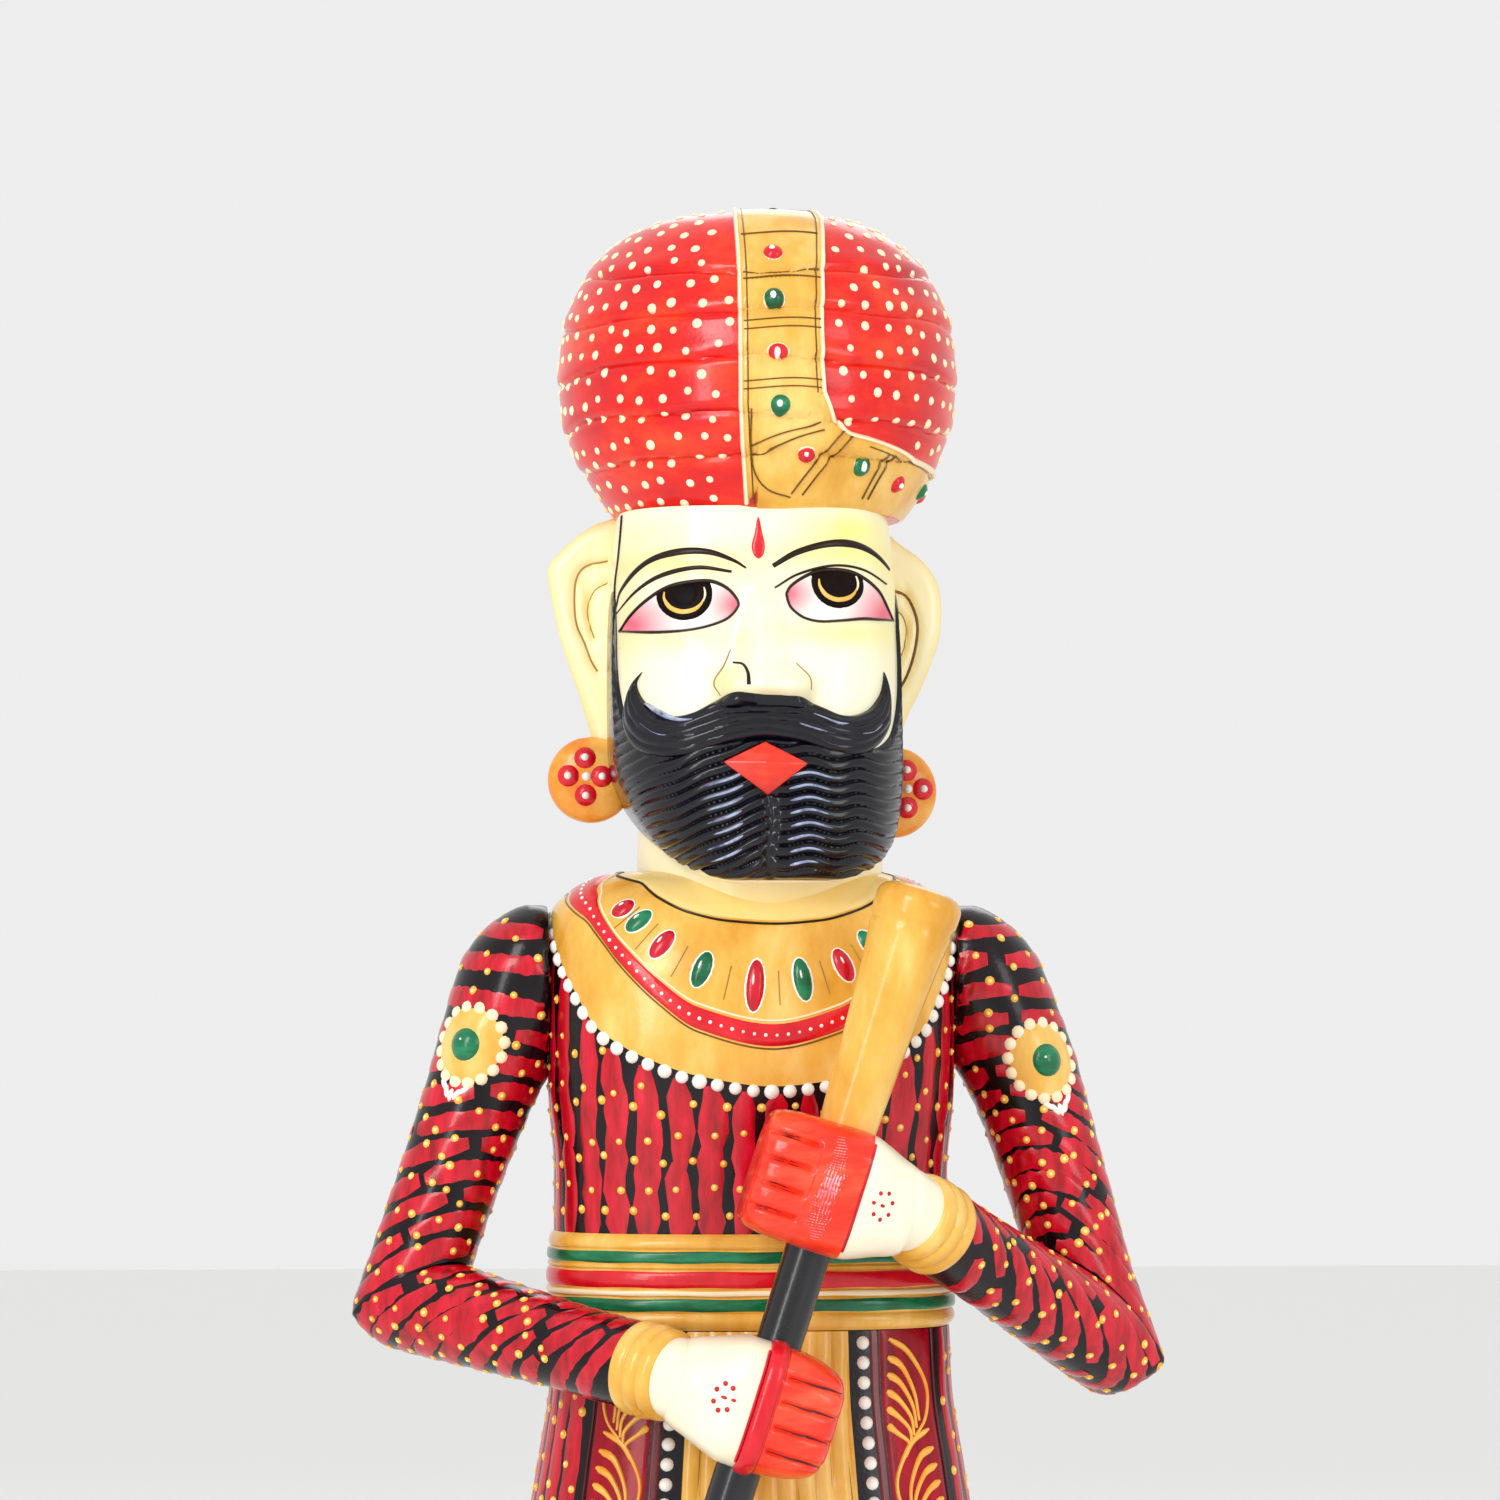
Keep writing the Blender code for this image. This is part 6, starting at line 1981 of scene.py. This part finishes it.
def make_shoe(side):
    """A pointed slipper with a curled toe, a gold sole, and a gold loop and drops on its top."""
    low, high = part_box(f"shoe_{side}")
    x0 = (low.x + high.x) / 2
    length = high.y - low.y
    rows = (
        # share from heel to toe, half width, height, floor lift
        (0.0, 0.0008, 0.0165, 0.0), (0.008, 0.0058, 0.0168, 0.0), (0.03, 0.0100, 0.0172, 0.0),
        (0.12, 0.0140, 0.0190, 0.0), (0.30, 0.0148, 0.0188, 0.0), (0.50, 0.0156, 0.0170, 0.0),
        (0.68, 0.0150, 0.0140, 0.0), (0.82, 0.0118, 0.0110, 0.0006), (0.92, 0.0070, 0.0090, 0.0030),
        (0.98, 0.0036, 0.0062, 0.0075), (1.0, 0.0016, 0.0030, 0.0110),
    )
    share = np.linspace(0, 1, 90)
    wide, tall, lift = (hermite(rows, column, share) for column in (1, 2, 3))
    tall = tall * (high.z - low.z) / SHOE_TALL
    angle = turns(56)
    across = signed_power(np.cos(angle), 0.75)
    up = (signed_power(np.sin(angle), 0.75) + 1) / 2
    grid = np.stack([
        x0 + wide[:, None] * across * (1 - 0.25 * up), (high.y - share * length)[:, None] + 0 * angle,
        low.z + lift[:, None] + tall[:, None] * up,
    ], -1)
    carve(f"shoe_{side}", "carving", grid, "red", "body", "shoe_paint")

    def top(x, s):
        x, s = spread(x, s)
        wide, tall, lift = (hermite(rows, column, s) for column in (1, 2, 3))
        tall = tall * (high.z - low.z) / SHOE_TALL
        k = np.clip(np.abs(x) / (wide * 0.78), 0, 0.98)
        z = low.z + lift + tall * (0.5 + 0.5 * (1 - k ** 2.7) ** 0.375)
        return np.stack([x0 - x, high.y - s * length, z], -1)

    gold = Layer.of(f"shoe_{side}_gold", "body", "shoe_paint", "yellow")
    for sign in (-1, 1):
        loop = ((0.0, 0.50), (0.0060, 0.56), (0.0070, 0.66), (0.0030, 0.76), (0.0, 0.80))
        path = curve_through([(sign * x, s) for x, s in loop], 30)
        stroke(gold, top, path, 0.0005, 0.0006)
    for k in range(7):
        dot(gold, top, 0.0, 0.53 + 0.035 * k, 0.0010, 0.0008, 8)
    sole = []
    edge = [(-w, s, floor) for w, s, floor in zip(wide[::3], share[::3], lift[::3])]
    edge += [(-w, s, floor) for w, s, floor in reversed(edge)]
    for level, grow in ((0.0, 1.04), (0.0035, 1.05), (0.0042, 1.0)):
        sole.append([(x0 + w * grow, high.y - s * length, low.z + level + floor * 0.8) for w, s, floor in edge])
    place(f"shoe_{side}_sole", tube_mesh("sole", np.array(sole)), PAINT["gold"], "body", "shoe_paint")


def wood(name, dark, light, scale=(8, 60, 60)):
    """Turned or sawn timber with long grain."""
    return enamel(name, (dark, tuple((a + b) / 2 for a, b in zip(dark, light)), light), 0.42, 0.25, scale, 0.25, 500.0)


def make_base():
    """The plinth: a block with rounded corners and a moulded upper edge."""
    low, high = PLINTH_LOW, PLINTH_HIGH
    half = Vector(((high.x - low.x) / 2, (high.y - low.y) / 2))
    middle = Vector(((high.x + low.x) / 2, (high.y + low.y) / 2))
    tall = high.z - low.z
    rows = ((0.0, 0.0018), (0.02, 0.0004), (0.06, 0.0), (0.42, 0.0), (0.46, 0.0010), (0.50, 0.0014), (0.60, 0.0016),
            (0.72, 0.0030), (0.84, 0.0052), (0.92, 0.0062), (0.97, 0.0070), (1.0, 0.0082))
    levels = np.linspace(0, 1, 60)
    inset = hermite(rows, 1, levels)
    angle = turns(240)
    rings = []
    for level, step in zip(levels, inset):
        wide, deep = half.x - step, half.y - step
        x = signed_power(np.cos(angle), 0.14) * wide
        y = signed_power(np.sin(angle), 0.14) * deep
        rings.append(np.stack([middle.x + x, middle.y + y, np.full(angle.shape, low.z + level * tall)], -1))
    stain = wood("plinth_stain", tone(52, 22, 12), tone(104, 50, 26))
    place("plinth_moulded", tube_mesh("plinth", np.stack(rings)), stain, "body", "plinth_wood", ("base_plinth",))


def paint_cad_nodes():
    """The carried-over pegs and screws keep their CAD meshes, in raw timber and brushed steel."""
    timber = wood("peg_timber", tone(176, 128, 78), tone(214, 170, 116), (60, 60, 14))
    steel = enamel("screw_steel", (tone(120, 122, 126), tone(176, 178, 182)), 0.3, 0.0, (40, 40, 400), 0.2, 700.0, 1.0)
    for name, node in frame["nodes"].items():
        if node.get("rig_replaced") or node.hide_render:
            continue
        node.data.materials.clear()
        node.data.materials.append(steel if "screw" in name else timber)


make_torso()
make_belt()
make_skirt()
for side in SIDES:
    make_arm(side)
    make_fist(side)
make_staff()
make_head()
make_turban()
for side in SIDES:
    make_leg(side)
    make_shoe(side)
make_base()
for layer in Layer.made.values():
    layer.build()
paint_cad_nodes()

# ---------------------------------------------------------------- stage, light and camera
EYE_TURN = math.radians(-4)
EYE_TILT = math.radians(2.6)
EYE_DISTANCE = 1.65
EYE_HEIGHT = 0.372
SENSOR = 36.0
LENS = 132.0


def add_camera():
    data = bpy.data.cameras.new("eye")
    data.sensor_width = SENSOR
    data.lens = LENS
    camera = bpy.data.objects.new("eye", data)
    back = Vector((math.sin(EYE_TURN), -math.cos(EYE_TURN), 0))
    camera.location = back * EYE_DISTANCE + Vector((0, 0, EYE_HEIGHT))
    look = -back * math.cos(EYE_TILT) + Vector((0, 0, math.sin(EYE_TILT)))
    camera.rotation_euler = look.to_track_quat("-Z", "Y").to_euler()
    bpy.context.scene.collection.objects.link(camera)
    bpy.context.scene.camera = camera


def add_light(name, location, target, size, power, colour=(1, 1, 1)):
    data = bpy.data.lights.new(name, "AREA")
    data.shape = "RECTANGLE"
    data.size, data.size_y = size
    data.energy = power
    data.color = colour
    light = bpy.data.objects.new(name, data)
    light.location = location
    light.rotation_euler = (Vector(target) - Vector(location)).to_track_quat("-Z", "Y").to_euler()
    bpy.context.scene.collection.objects.link(light)


def add_floor():
    bm = bmesh.new()
    bmesh.ops.create_grid(bm, x_segments=8, y_segments=8, size=6.0)
    mesh = bpy.data.meshes.new("floor")
    bm.to_mesh(mesh)
    bm.free()
    floor = bpy.data.objects.new("floor", mesh)
    material = bpy.data.materials.new("pale_floor")
    material.use_nodes = True
    shader = material.node_tree.nodes["Principled BSDF"]
    shader.inputs["Base Color"].default_value = (0.90, 0.90, 0.89, 1)
    shader.inputs["Roughness"].default_value = 0.7
    mesh.materials.append(material)
    bpy.context.scene.collection.objects.link(floor)


def add_world():
    world = bpy.data.worlds.new("studio")
    world.use_nodes = True
    world.node_tree.nodes["Background"].inputs["Color"].default_value = (1, 1, 1, 1)
    world.node_tree.nodes["Background"].inputs["Strength"].default_value = 0.85
    bpy.context.scene.world = world
    bpy.context.scene.view_settings.view_transform = "Standard"


add_floor()
add_world()
add_camera()
add_light("key", (-0.9, -1.7, 1.4), (0, 0, 0.42), (0.6, 0.8), 12)
add_light("fill", (1.3, -1.4, 0.8), (0, 0, 0.40), (0.5, 0.9), 5)
add_light("back", (0.3, 1.6, 1.5), (0, 0, 0.35), (0.9, 0.9), 4)
add_light("strip", (-1.1, -1.6, 0.75), (0, 0, 0.38), (0.28, 1.0), 6)
